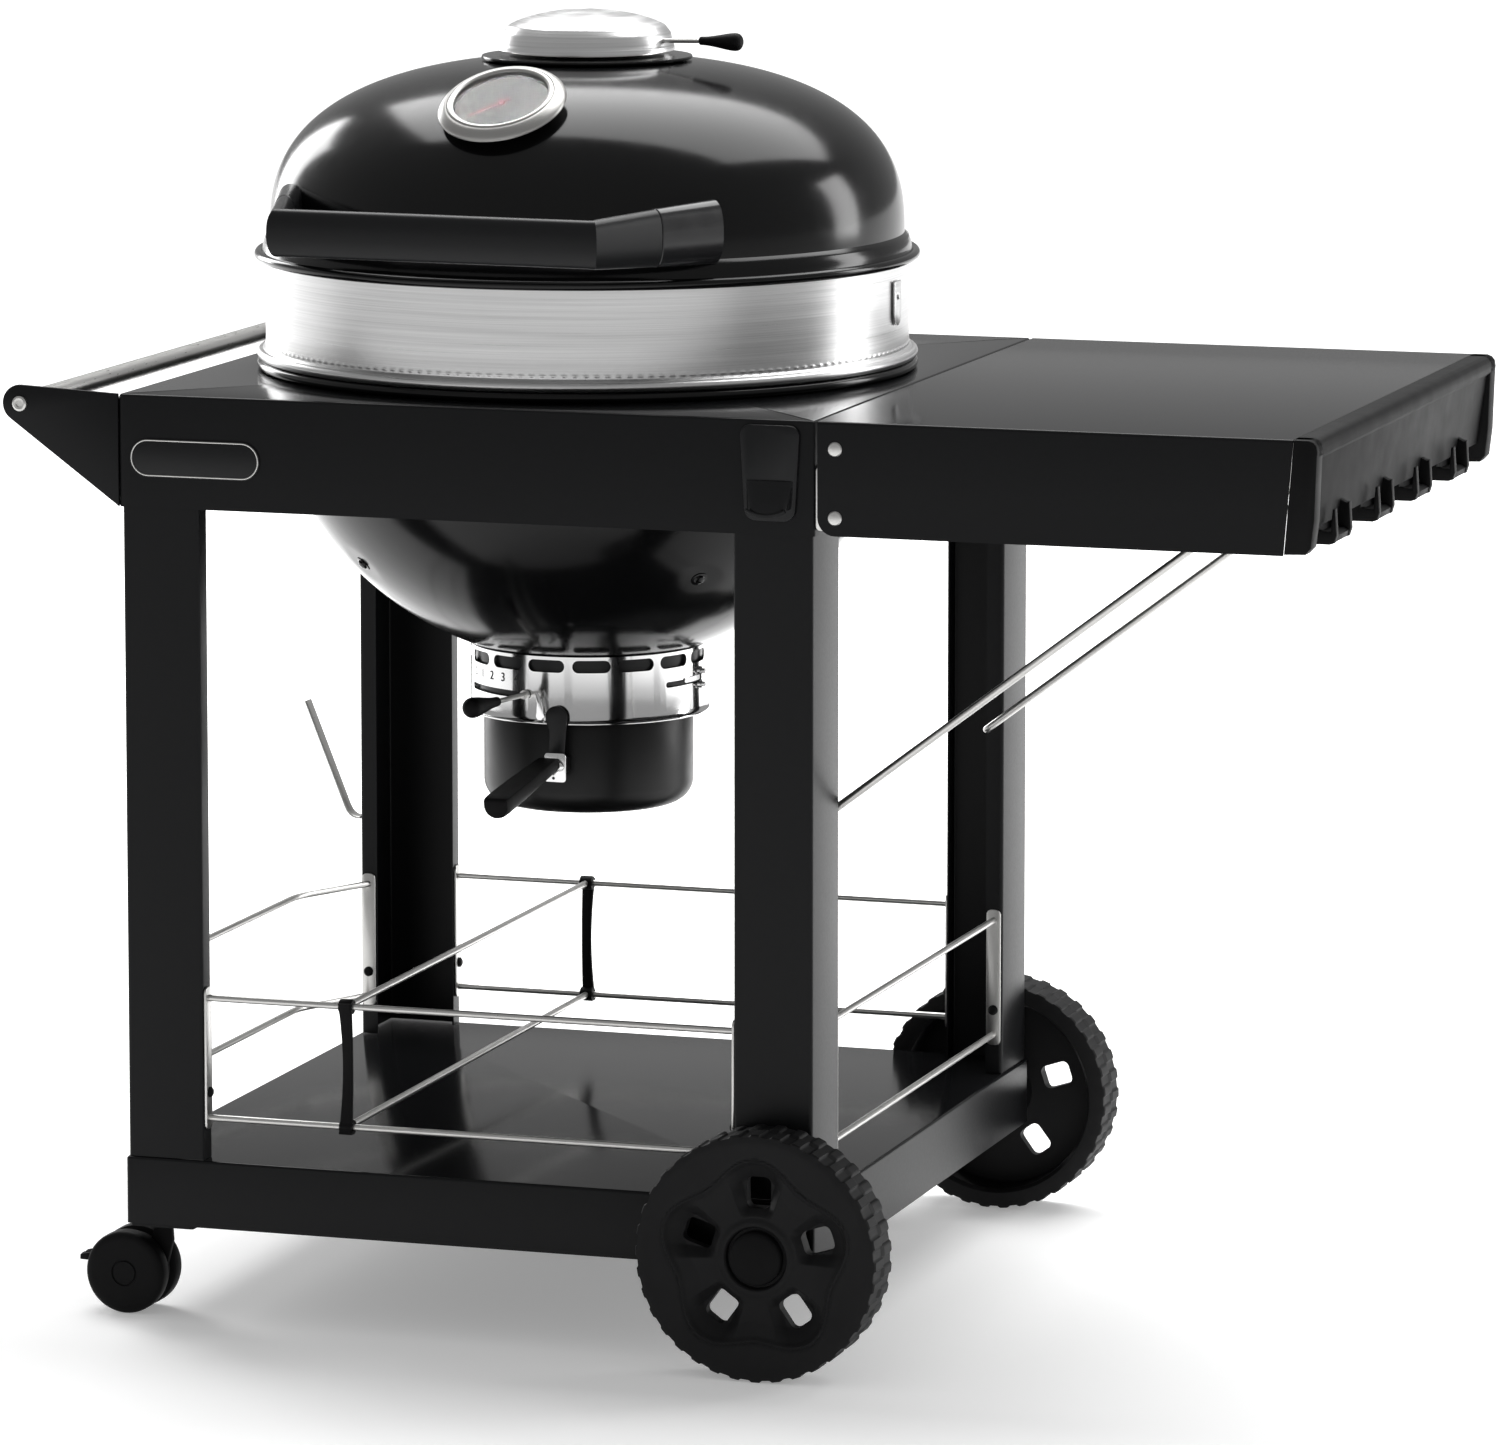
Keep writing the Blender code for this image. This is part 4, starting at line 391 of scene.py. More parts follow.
# ---------------------------------------------------------------- cart handle
# A satin steel tube between two gusset plates of black sheet on the cart's left side, each with a round nose where a
# screw with a hexagon socket holds the tube's end.
satin_steel, coords, feed = finish("satin_steel", (0.62, 0.615, 0.60), 0.3, 1.0)
fine_lines = coords.noise(60, 3.0, (14, 1, 14))
feed(Roughness=fine_lines.between(0.22, 0.40), Normal=grained(coords, fine_lines, 0.05))


def turned(profile, steps=96, start=0.0, end=360.0):
    """A profile of (radius, height) pairs carried round the vertical axis: rows are (r cos, r sin, z)."""
    turn = np.radians(np.linspace(start, end, steps, endpoint=end - start < 360))
    profile = np.asarray(profile, float)
    return np.stack(
        [profile[:, :1] * np.cos(turn), profile[:, :1] * np.sin(turn), np.tile(profile[:, 1:], len(turn))], -1
    )


def basis(axis, near=(0, 0, 1)):
    """Three unit vectors, the last of them along the axis and the second as near as it can be to the one given."""
    w = np.asarray(axis, float) / np.linalg.norm(axis)
    v = np.asarray(near, float) - np.dot(near, w) * w
    v /= np.linalg.norm(v)
    return np.cross(v, w), v, w


def spun(profile, origin, axis, steps=48, near=(0, 0, 1)):
    """A turned profile stood on a point, along an axis.

    A profile that starts and ends off the axis is a closed loop.
    """
    profile = np.asarray(profile, float)
    if profile[0, 0] > 1e-7 or profile[-1, 0] > 1e-7:
        profile = np.vstack([profile, profile[:1]])
    return shell(laid(turned(profile, steps), origin, *basis(axis, near)), ends=False)


def slab(outline, thickness, origin, u, v, edge=0.0005):
    """A flat plate: an outline and its edge rounded a little on both faces, lifted along u x v."""
    rows = [(edge, 0), (edge * 0.3, edge * 0.3), (0, edge), (0, thickness - edge)]
    rows += [(edge * 0.3, thickness - edge * 0.3), (edge, thickness)]
    return shell(laid(layered(outline, rows), origin, u, v, np.cross(u, v)))


RIGHT, BACK, UP = np.eye(3)
FRONT = -BACK
low, high = corners_of("cart_handle")
bar_x, bar_z, bar_r = (low[0] + high[0]) / 2, (low[2] + high[2]) / 2, (high[0] - low[0]) / 2
profile = [(0, 0), (bar_r, 0), (bar_r, high[1] - low[1]), (0, high[1] - low[1])]
tube = spun(profile, (bar_x, low[1], bar_z), BACK, 40)
piece("handle_tube", [tube], satin_steel, "cart", ["cart_handle"])
NOSE = 0.0165
for end, along in (("front", -1), ("rear", 1)):
    low, high = corners_of(f"handle_bracket_{end}")
    seam, top, foot = high[0], high[2], low[2]
    apart = [np.array([seam, z]) - np.array([bar_x, bar_z]) for z in (table_top, table_low)]
    lean = [math.degrees(math.atan2(d[1], d[0])) for d in apart]
    open_angle = [math.degrees(math.acos(NOSE / np.linalg.norm(d))) for d in apart]
    nose = arc((bar_x, bar_z), NOSE, lean[0] + open_angle[0], lean[1] - open_angle[1] + 360, 16)
    outline = np.vstack([[(seam, table_low), (seam, table_top)], nose])
    front_face = low[1] if along < 0 else high[1] - 0.003
    gusset = slab(outline, 0.003, (0, front_face + 0.003, 0), RIGHT, UP)
    tab = slab(
        round_box(0.013, (top - foot) / 2 - 0.008, 0.003),
        0.0025,
        (seam - 0.0028, along * (half_y - 0.016), (top + foot) / 2),
        BACK,
        UP,
    )
    parts = [gusset, tab]
    if along < 0:
        start = np.array([seam - 0.0004, table_low + 0.0006])
        stop = start + (outline[-1] - start) * 0.81
        lift = np.array([0, 0.0024])
        parts.append(slab(np.array([start, start + lift, stop + lift, stop]), high[1] - low[1] - 0.0020,
                          (0, high[1] - 0.0003, 0), RIGHT, UP, 0.0002))
    piece(f"handle_gusset_{end}", parts, powder_coat, "cart", [f"handle_bracket_{end}"])
    head = [(0, 0.0015), (0.0028, 0.0015), (0.0031, 0.0028), (0.0050, 0.0030), (0.0066, 0.0020), (0.0070, 0), (0, 0)]
    outside = front_face if along < 0 else high[1]
    screw = spun(head, (bar_x, outside, bar_z), FRONT if along < 0 else BACK, 32)
    piece(f"handle_screw_{end}", [screw], satin_steel, "cart")

# ---------------------------------------------------------------- name plate and bottle opener
# A blank plate with a bright rolled edge is riveted to the front skirt's left end. The opener, at its right end, is a
# satin black casting: a rounded plate with a hooded mouth that catches a bottle's cap.
satin_black, coords, feed = finish("satin_black", (0.0080, 0.0083, 0.0090), 0.3, **{"Specular IOR Level": 0.22})
mottle = coords.noise(160, 2.0)
feed(Roughness=mottle.between(0.26, 0.36), Normal=grained(coords, coords.noise(900, 1.0), 0.04, 0.0002))


def swept(path, radius, near=(0, 0, 1), sides=14, section=None):
    """A tube: at each point of the path, a circle (or another section) square to the mean of the two directions
    there, stretched by the mitre so that the tube keeps its width round a bend."""
    path = np.asarray(path, float)
    ahead = np.diff(path, axis=0)
    ahead /= np.linalg.norm(ahead, axis=1, keepdims=True)
    mean = np.vstack([ahead[:1], ahead[:-1] + ahead[1:], ahead[-1:]])
    mean /= np.linalg.norm(mean, axis=1, keepdims=True)
    up = np.asarray(near, float) - (mean @ np.asarray(near, float))[:, None] * mean
    up /= np.linalg.norm(up, axis=1, keepdims=True)
    out = np.cross(up, mean)
    flat = arc((0, 0), 1.0, 0, 360, sides)[:-1] if section is None else section
    scale = np.asarray(radius, float).reshape(-1, 1, 1)
    stretch = 1 / np.maximum((mean * np.vstack([ahead[:1], ahead])).sum(1), 0.6)[:, None, None]
    return shell(path[:, None] + scale * (stretch * out[:, None] * flat[:, :1] + up[:, None] * flat[:, 1:]))


low, high = corners_of("badge_plate")
middle = (low + high) / 2
half_u, half_v = (high[0] - low[0]) / 2, (high[2] - low[2]) / 2
outline = round_box(half_u, half_v, half_v - 0.0002, 12)
plate = slab(outline, 0.0011, (middle[0], high[1], middle[2]), RIGHT, UP, 0.0003)
piece("name_plate", [plate], satin_black, "cart", ["badge_plate"])
edge = inset(outline, 0.0016)
loop = np.vstack([edge, edge[:1]])
path = np.column_stack([loop[:, 0] + middle[0], np.full(len(loop), low[1] + 0.0001), loop[:, 1] + middle[2]])
piece("name_plate_edge", [swept(path, 0.0007, FRONT, 8)], satin_steel, "cart")

low, high = corners_of("bottle_opener")
middle, wide, tall = (low + high) / 2, high[0] - low[0], high[2] - low[2]
corner = arc((wide / 2 - 0.0095, tall / 2 - 0.0095), 0.009, 0, 90, 6)
right_side = np.vstack([arc((wide / 2 - 0.0150, -tall / 2 + 0.0110), 0.0110, -90, 0, 6), corner])
outline = np.vstack([right_side, (right_side * (-1, 1))[::-1]])
backing = slab(outline, 0.0032, (middle[0], high[1], middle[2]), RIGHT, UP, 0.0010)
t = np.linspace(0, 1, 25)[:, None]
s = np.linspace(-1, 1, 29)[None, :]
bulge = np.sqrt(np.clip(1 - s**4, 0, 1)) * np.sin(np.pi * np.clip(0.12 + 0.88 * t, 0, 1) ** 0.8 * 0.60)
mouth = np.stack(
    [
        middle[0] + s * (0.0215 - 0.002 * t),
        high[1] - 0.0030 - 0.0125 * bulge * (0.45 + 0.55 * t),
        low[2] + tall * (0.42 - 0.28 * t) - 0.005 * (1 - s**2) * t,
    ],
    -1,
)
inner_mouth = mouth.copy()
inner_mouth[:, :, 1] = np.minimum(mouth[:, :, 1] + 0.0022, high[1] - 0.0025)
hood = shell(np.concatenate([mouth, inner_mouth[::-1], mouth[:1]]), ring=False, ends=False)
lip_at = np.linspace(-1, 1, 17)
lip_curve = np.column_stack(
    [middle[0] + 0.0175 * lip_at, np.full(17, high[1] - 0.0150), low[2] + tall * 0.13 - 0.0045 * (1 - lip_at**2)]
)
lip = swept(lip_curve, 0.0016, FRONT, 10)
piece("opener", [backing, hood, lip], satin_black, "cart", ["bottle_opener"])

# ---------------------------------------------------------------- bowl
# Pressed steel under glossy black enamel: half an ellipsoid with a rolled rim. Four round flats are pressed into its
# side for the bolts that hold the grates' brackets.
enamel, coords, feed = finish("black_enamel", (0.0030, 0.0031, 0.0033), 0.16, **{"Specular IOR Level": 0.28})
ripple = coords.noise(13, 2.0)
feed(
    Roughness=coords.noise(60, 2.0).between(0.12, 0.19),
    Normal=grained(coords, ripple, 0.10, 0.0006),
)


def ellipse_side(radius, depth, top, widest, narrowest, steps):
    """(r, z) down an ellipsoid's side: r = radius cos t, z = top - depth sin t, from one r to another."""
    t = np.linspace(math.acos(widest / radius), math.acos(narrowest / radius), steps)
    return np.column_stack([radius * np.cos(t), top - depth * np.sin(t)])


def flattened(points, place, normal, depth):
    """Points near a place laid on a plane: p - max((p - place) . n + depth, 0) n."""
    beyond = np.maximum((points - place) @ normal + depth, 0)
    near = np.linalg.norm(points - place, axis=1) < 0.03
    return points - (beyond * near)[:, None] * normal


BOWL_DEPTH, BOWL_MOUTH = 0.277, corners_of("bowl")[1][2]
ROLL = 0.0045
outer = ellipse_side(KETTLE, BOWL_DEPTH, BOWL_MOUTH, KETTLE * 0.9995, 0.072, 84)
inner = ellipse_side(KETTLE - 0.0026, BOWL_DEPTH - 0.0026, BOWL_MOUTH, KETTLE - 0.00261, 0.072, 40)
bead = arc((RIM - ROLL, BOWL_MOUTH - ROLL), ROLL, 215, 465, 20)
points, faces = spun(np.vstack([outer[::-1], bead, inner]), AXIS_FOOT, UP, 288, BACK)
slope = np.array([0.7606, -0.6493])
bolts = []
for azimuth in np.radians([-45, 45, 135, 225]):
    out = np.array([math.sin(azimuth), -math.cos(azimuth), 0])
    place = np.array([AXIS_X, 0, BOWL_MOUTH - 0.1758]) + out * 0.2226
    normal = out * slope[0] + UP * slope[1]
    points = flattened(points, place, normal, 0.00095)
    head = [
        (0, 0.0034), (0.0022, 0.0033), (0.0042, 0.0024), (0.0052, 0.0008), (0.0075, 0.0006), (0.0075, -0.0006),
        (0, -0.0006)
    ]
    bolts.append(spun(head, place - normal * 0.00095, normal, 24, BACK))
piece("bowl_shell", [(points, faces)], enamel, "cart", ["bowl"], angle=40)
piece("bowl_bolts", bolts, enamel, "cart")

# ---------------------------------------------------------------- ash collar
# A polished steel drum under the bowl with sixteen air slots round its top, a slot for the sweeper's lever, numbers for
# the lever's settings and a lip rolled outwards at its foot. A black sleeve turns inside it.
mirror_steel, coords, feed = finish("polished_steel", (0.80, 0.80, 0.80), 0.12, 1.0)
feed(Roughness=coords.noise(25, 3.0).between(0.07, 0.16), Normal=grained(coords, coords.noise(30, 1.0), 0.06, 0.0006))
moulded, coords, feed = finish("moulded_black", (0.0045, 0.0045, 0.0048), 0.55, **{"Specular IOR Level": 0.10})
grain = coords.noise(1500, 2.0)
feed(Roughness=coords.noise(40, 2.0).between(0.48, 0.62), Normal=grained(coords, grain, 0.12, 0.0003))
ink = finish("black_ink", (0.01, 0.01, 0.01), 0.6)[0]
low, high = corners_of("ash_collar")
COLLAR, collar_top, collar_low = (high[0] - low[0]) / 2 - 0.003, high[2], low[2]


def wrapped(outline, radii, azimuth, height):
    """An outline bent round the kettle's axis, once at each radius: the angle is azimuth + u / COLLAR, and z is height
    + v. The azimuth is from the front, in degrees."""
    turn = math.radians(azimuth) + outline[:, 0] / COLLAR
    return np.stack(
        [np.column_stack([AXIS_X + r * np.sin(turn), -r * np.cos(turn), height + outline[:, 1]]) for r in radii]
    )


def pill(half_u, half_v, parts=6):
    """The outline of a slot with half-round ends, its straight sides cut into parts."""
    return subdivided(round_box(half_u, half_v, half_v * 0.98, 6), parts)


def lettering(text, size):
    """The flat shapes of a text as points (u, v) about its middle, and their faces."""
    curve = bpy.data.curves.new("lettering", "FONT")
    curve.body, curve.size, curve.align_x, curve.align_y = text, size, "CENTER", "CENTER"
    holder = bpy.data.objects.new("lettering", curve)
    flat = bpy.data.meshes.new_from_object(holder)
    points = np.array([tuple(vertex.co) for vertex in flat.vertices])[:, :2]
    return points, [list(face.vertices) for face in flat.polygons]


wall = [(COLLAR, collar_top), (COLLAR, collar_low + 0.0065), (COLLAR + 0.0008, collar_low + 0.0035)]
wall += arc((COLLAR + 0.0018, collar_low + 0.0012), 0.0012, 90, -90, 6).tolist()
wall += [
    (COLLAR - 0.0004, collar_low + 0.0022), (COLLAR - 0.0013, collar_low + 0.0065), (COLLAR - 0.0013, collar_top)
]
slots = [shell(wrapped(pill(0.0172, 0.0056), (COLLAR - 0.006, COLLAR + 0.006), -47 + 22.5 * n, collar_top - 0.0085))
         for n in range(16)]
slots.append(shell(wrapped(pill(0.0415, 0.0030, 12), (COLLAR - 0.006, COLLAR + 0.006), -34.5, collar_top - 0.0360)))
slots.append(shell(wrapped(pill(0.0300, 0.0026, 12), (COLLAR - 0.006, COLLAR + 0.006), 76, collar_top - 0.0290)))
piece("collar", [spun(wall, AXIS_FOOT, UP, 192, BACK)], mirror_steel, "cart", ["ash_collar"],
      cutters=slots)
sleeve = [(0.1025, collar_low + 0.012), (0.1025, collar_top), (0.1017, collar_top), (0.1017, collar_low + 0.012)]
piece("collar_sleeve", [spun(sleeve, AXIS_FOOT, UP, 96, BACK)], satin_black, "cart")
numbers = []
for azimuth, mark in ((-52, "0"), (-44, "1"), (-35.5, "2"), (-27, "3"), (-18.5, "4")):
    flat, faces = lettering(mark, 0.0112)
    numbers.append((wrapped(flat, (COLLAR + 0.0004,), azimuth, collar_top - 0.0225)[0], faces))
piece("collar_numbers", numbers, ink, "cart")
fixings = []
for azimuth, drop in ((88, 0.022), (88, 0.034)):
    out = np.array([math.sin(math.radians(azimuth)), -math.cos(math.radians(azimuth)), 0])
    stud = [(0, 0.006), (0.0022, 0.006), (0.0022, 0.0030), (0.0040, 0.0028), (0.0040, 0), (0, 0)]
    fixings.append(spun(stud, np.array([AXIS_X, 0, collar_top - drop]) + out * COLLAR, out, 16))
strip = wrapped(pill(0.014, 0.0022), (COLLAR + 0.0002, COLLAR + 0.0012), 80, collar_top - 0.0275)
piece("collar_fixings", fixings + [shell(strip)], mirror_steel, "cart")

# ---------------------------------------------------------------- ash sweeper
# Three curved blades on a shaft sweep the bowl's floor. The lever is a steel rod through the collar's slot, with a
# teardrop grip of moulded black plastic.
def smooth(points, steps=6):
    """A Catmull-Rom curve through points: (2b + (c - a) t + (2a - 5b + 4c - d) t^2 + (3b - a - 3c + d) t^3) / 2."""
    p = np.asarray(points, float)
    p = np.vstack([2 * p[:1] - p[1:2], p, 2 * p[-1:] - p[-2:-1]])
    a, b, c, d = (p[i : len(p) - 3 + i, None] for i in range(4))
    t = np.linspace(0, 1, steps + 1)[None, :-1, None]
    curve = (2 * b + (c - a) * t + (2 * a - 5 * b + 4 * c - d) * t**2 + (3 * b - a - 3 * c + d) * t**3) / 2
    return np.vstack([curve.reshape(-1, p.shape[1]), p[-2]])


def grip_profile(length, thick):
    """(r, z) of a teardrop grip: a slim neck, its widest at four fifths of its length, and a round end."""
    z = np.array([0.0, 0.02, 0.2, 0.45, 0.68, 0.84, 0.93, 0.985, 1.0])
    r = np.array([0.75, 1.0, 1.12, 1.55, 2.0, 2.15, 1.85, 1.0, 0.0])
    curve = smooth(np.column_stack([r * thick / 2.15, z * length]), 5)
    return np.vstack([[(0, 0)], np.maximum(curve, 0)])


low, high = corners_of("sweeper_grip")
lever_z = (low[2] + high[2]) / 2
lever_out = np.array([math.sin(math.radians(-12.4)), -math.cos(math.radians(-12.4)), 0])
lever_from = np.array([AXIS_X, 0, lever_z])
rod = swept([lever_from + lever_out * 0.004, lever_from + lever_out * 0.156], 0.0022, UP, 14)
clamp = spun(
    [(0, 0), (0.0042, 0), (0.0042, 0.004), (0, 0.004)], lever_from + lever_out * (COLLAR + 0.001), lever_out, 20
)
blades = []
for azimuth in (0, 120, 240):
    turn = math.radians(azimuth)
    out = np.array([math.cos(turn), math.sin(turn), 0])
    radii = np.linspace(0.006, 0.124, 16)
    drop = BOWL_MOUTH - (BOWL_DEPTH - 0.0026) * np.sqrt(1 - (np.maximum(
        radii, 0.04
    ) / (KETTLE - 0.0026)) ** 2) + 0.0045
    spine = np.array(AXIS_FOOT) + radii[:, None] * out + drop[:, None] * UP
    blades.append(swept(spine, 0.001, UP, section=np.array([(-6.0, -1.6), (6.0, -1.6), (6.0, 1.6), (-6.0, 1.6)])))
shaft = spun([(0, 0), (0.006, 0), (0.006, 0.030), (0, 0.030)], (AXIS_X, 0, lever_z - 0.004), UP, 24, BACK)
piece("sweeper", [rod, clamp, shaft] + blades, satin_steel, "ash_sweeper", ["ash_sweeper"])
grip = spun(grip_profile(0.0495, 0.0092), lever_from + lever_out * 0.1545, lever_out, 32)
piece("sweeper_handle", [grip], moulded, "ash_sweeper", ["sweeper_grip"])

# ---------------------------------------------------------------- ash bucket
# A deep round pot in a satin black finish, rougher than the bowl's enamel. Its strap arches up over the collar's lip to
# the latch, and a small steel plate on the strap holds the moulded handle, flat on top and round below.
low, high = corners_of("ash_bucket")
POT, pot_top, pot_low = (high[0] - low[0]) / 2, high[2], low[2]
pot = np.vstack([
    [(0, pot_low), (0.04, pot_low)],
    arc((POT - 0.021, pot_low + 0.021), 0.021, -90, 0, 14),
    [(POT, pot_top - 0.001), (POT - 0.0006, pot_top), (POT - 0.0014, pot_top - 0.001)],
    arc((POT - 0.021, pot_low + 0.021), 0.0196, 0, -90, 10),
    [(0, pot_low + 0.0014)],
])
pot_black, coords, feed = finish("pot_black", (0.0040, 0.0041, 0.0043), 0.36, **{"Specular IOR Level": 0.28})
feed(Roughness=coords.noise(60, 2.0).between(0.30, 0.42))
piece("bucket", [spun(pot, AXIS_FOOT, UP, 160, BACK)], pot_black, "ash_bucket", ["ash_bucket"])
low, high = corners_of("bucket_bracket")
strap_x, strap_y = low[0] + 0.0085, low[1]
outline = np.vstack([
    [(-0.0062, -0.0380), (0.0082, -0.0380), (0.0100, -0.0150)],
    arc((0.0012, -0.0005), 0.0102, 0, 180, 18),
    [(-0.0088, -0.0040), (-0.0050, -0.0130)],
])
strap = slab(outline, 0.002, (strap_x, strap_y + 0.002, high[2] - 0.0100), RIGHT, UP, 0.0004)
foot = slab(round_box(0.0072, 0.0075, 0.001, 3), 0.0172, (strap_x + 0.001, -0.0950, low[2] + 0.0085), RIGHT, UP)
piece("bucket_strap", [strap, foot], satin_black, "ash_bucket", ["bucket_bracket"])
low, high = corners_of("bucket_plate")
plate_x, plate_z = (low[0] + high[0]) / 2, (low[2] + high[2]) / 2
outline = round_box(0.0100, 0.0130, 0.0028, 6)
eyelet = slab(
    round_box(0.0013, 0.0013, 0.0012, 6), 0.006, (plate_x - 0.0015, low[1] + 0.004, plate_z - 0.0095), RIGHT, UP
)
plate = slab(outline, high[1] - low[1] + 0.0002, (plate_x, high[1], plate_z), RIGHT, UP, 0.0003)
rivet = spun([(0, 0.0022), (0.0022, 0.0020), (0.0038, 0.0012), (0.0042, 0), (0, 0)],
             (plate_x + 0.0042, low[1], plate_z + 0.0010), FRONT, 24)
piece(
    "bucket_name_plate", [plate, rivet], mirror_steel, "ash_bucket", ["bucket_plate"],
    cutters=[eyelet]
)
section = np.vstack([[(1.0, 0.50), (0.88, 0.66), (-0.88, 0.66), (-1.0, 0.50)], arc((0, 0.14), 1.0, 190, 350, 18)])
start = np.array([AXIS_X + 0.0020, low[1] + 0.0010, 0.4783])
end = np.array([AXIS_X - 0.0041, -0.2388, 0.4588])
share = np.array([0, 0.02, 0.25, 0.6, 0.9, 0.965, 0.992, 1.0])[:, None]
size = np.array([0.0092, 0.0098, 0.0108, 0.0120, 0.0125, 0.0122, 0.0112, 0.0088])
handle = swept(start + (end - start) * share, size, UP, section=section)
piece("bucket_grip", [handle], moulded, "ash_bucket", ["bucket_handle"], angle=50)
low, high = corners_of("bucket_latch")
latch_x = (low[0] + high[0]) / 2
wing = np.vstack([
    arc((0, 0), 0.0041, 150, 390, 16),
    [
        (0.0030, 0.0060), (0.0020, 0.0120), (-0.0012, 0.0190), (-0.0030, 0.0212), (-0.0048, 0.0206),
        (-0.0046, 0.0175), (-0.0030, 0.0110), (-0.0034, 0.0060)
    ],
])
pin = spun(
    [(0, 0), (0.0024, 0), (0.0024, 0.0122), (0.0015, 0.0136), (0, 0.0136)], (latch_x, -0.1000, low[2] + 0.0042),
    FRONT, 20
)
wing = slab(wing, 0.0016, (latch_x, low[1] + 0.0018, low[2] + 0.0042), RIGHT, UP, 0.0003)
piece("latch", [wing, pin], mirror_steel, "bucket_latch", ["bucket_latch"])

# ---------------------------------------------------------------- ring
# A plain band of stainless steel brushed round its girth, with a rolled foot and a line of small crimps above it. A
# riveted plate on each side takes a rotisserie's spit.
brushed, coords, feed = finish("brushed_steel", (0.74, 0.74, 0.735), 0.3, 1.0)
streaks = coords.noise(1.0, 5.0, (5, 5, 900))
bands = coords.noise(1.0, 2.0, (2, 2, 90))
tone = coords.node("ValToRGB", {"stops": [(0.25, 0.52), (0.75, 0.86)]}, {0: streaks * 0.6 + bands * 0.4})
feed(Base_Color=tone, Roughness=streaks.between(0.22, 0.40), Normal=grained(coords, streaks, 0.10, 0.0004))
low, high = corners_of("ring_band")
ring_low, ring_top = low[2], high[2]
z = np.concatenate([
    [ring_top], np.linspace(ring_top - 0.002, ring_low + 0.0170, 6),
    np.linspace(ring_low + 0.0160, ring_low + 0.0110, 11)
])
foot = arc((RIM - ROLL, ring_low + ROLL), ROLL, 100, -90, 16)
profile = np.vstack([
    np.column_stack([np.full(len(z), KETTLE), z]), foot, [(KETTLE - 0.0014, ring_low), (KETTLE - 0.0014, ring_top)]
])
points, faces = spun(profile, AXIS_FOOT, UP, 1152, BACK)
azimuth = np.arctan2(points[:, 1], points[:, 0] - AXIS_X)
crimp = 0.00055 * np.maximum(np.cos(192 * azimuth), 0) * np.exp(-(((points[:, 2] - ring_low - 0.0135) / 0.0010) ** 2))
outside = np.hypot(points[:, 0] - AXIS_X, points[:, 1]) > KETTLE - 0.0005
points += (crimp * outside)[:, None] * np.column_stack([np.cos(azimuth), np.sin(azimuth), 0 * azimuth])
piece("ring", [(points, faces)], brushed, "ring", ["ring_band"])
for across, side in ((-1, "left"), (1, "right")):
    tab = np.vstack([
        [(-0.0095, 0.040), (-0.0095, 0.012)], arc((0, 0.0100), 0.0095, 190, 350, 12),
        [(0.0095, 0.012), (0.0095, 0.040)]
    ])
    x = AXIS_X + across * (KETTLE + 0.0010)
    plate = slab(tab, 0.0016, (x, 0, ring_top - 0.0525), BACK * across, UP, 0.0003)
    rivet = spun(
        [(0, 0.0022), (0.0022, 0.0018), (0.0036, 0), (0, 0)], (x + across * 0.0012, 0, ring_top - 0.0260),
        RIGHT * across, 20
    )
    piece(f"spit_plate_{side}", [plate, rivet], brushed, "ring", [f"spit_bracket_{side}"])

# ---------------------------------------------------------------- lid
# A deep dome in the same enamel: a superellipse above a short straight skirt and a rolled rim. It sits a few degrees
# round on the ring, and its own front is what the rest of the lid is placed by.
TURN = math.radians(-3.2)
LID_FRONT = np.array([math.sin(TURN), -math.cos(TURN), 0])
LID_RIGHT = np.array([math.cos(TURN), math.sin(TURN), 0])
low, high = corners_of("lid_shell")
lid_low = low[2]
DOME, RISE, SPRING, POWER = 0.284, 0.156, lid_low + 0.024, 2.55


def dome(radius, rise, last, steps):
    """(r, z) up the dome: r = radius cos(t)^(2/n), z = SPRING + rise sin(t)^(2/n), till r is down to the last."""
    t = np.linspace(0, 1, steps) ** 1.35 * math.acos((last / radius) ** (POWER / 2))
    return np.column_stack([radius * np.cos(t) ** (2 / POWER), SPRING + rise * np.sin(t) ** (2 / POWER)])


lid_rim = RIM + 0.002
bead = arc((lid_rim - ROLL, lid_low + ROLL), ROLL, -95, 120, 18)
shoulder = smooth(
    [(KETTLE + 0.0025, lid_low + 0.0105), (KETTLE + 0.0016, SPRING - 0.0085), (KETTLE - 0.0002, SPRING - 0.0035)], 5
)
profile = np.vstack([bead, shoulder, dome(DOME, RISE, 0.056, 110), dome(DOME - 0.003, RISE - 0.003, 0.056, 40)[::-1],
                     [(KETTLE - 0.0050, SPRING - 0.004), (KETTLE - 0.0050, lid_low + 0.0004)]])
piece("lid_dome", [spun(profile, AXIS_FOOT, UP, 288, BACK)], enamel, "lid", ["lid_shell"], angle=40)

# ---------------------------------------------------------------- lid handle
# One broad oval bar across the front, mitred into two arms that widen towards the dome, in satin black. A glossier
# ferrule covers the outer half of each arm, with a thin seam between.
def oval(centre, across, half_width, half_height, power=2.4, steps=48):
    """A superellipse in the plane of Z and a level direction: centre + across w cos(t)^(2/n) + up h sin(t)^(2/n)."""
    t = np.linspace(0, 2 * math.pi, steps, endpoint=False)
    c, s = np.cos(t), np.sin(t)
    wide = half_width * np.sign(c) * np.abs(c) ** (2 / power)
    tall = half_height * np.sign(s) * np.abs(s) ** (2 / power)
    return np.asarray(centre) + wide[:, None] * across + tall[:, None] * UP


def on_lid(points):
    """Points given in the lid's own frame, turned with it and moved to the kettle's axis."""
    return points[..., :1] * LID_RIGHT - points[..., 1:2] * LID_FRONT + points[..., 2:] * UP + np.array(AXIS_FOOT)


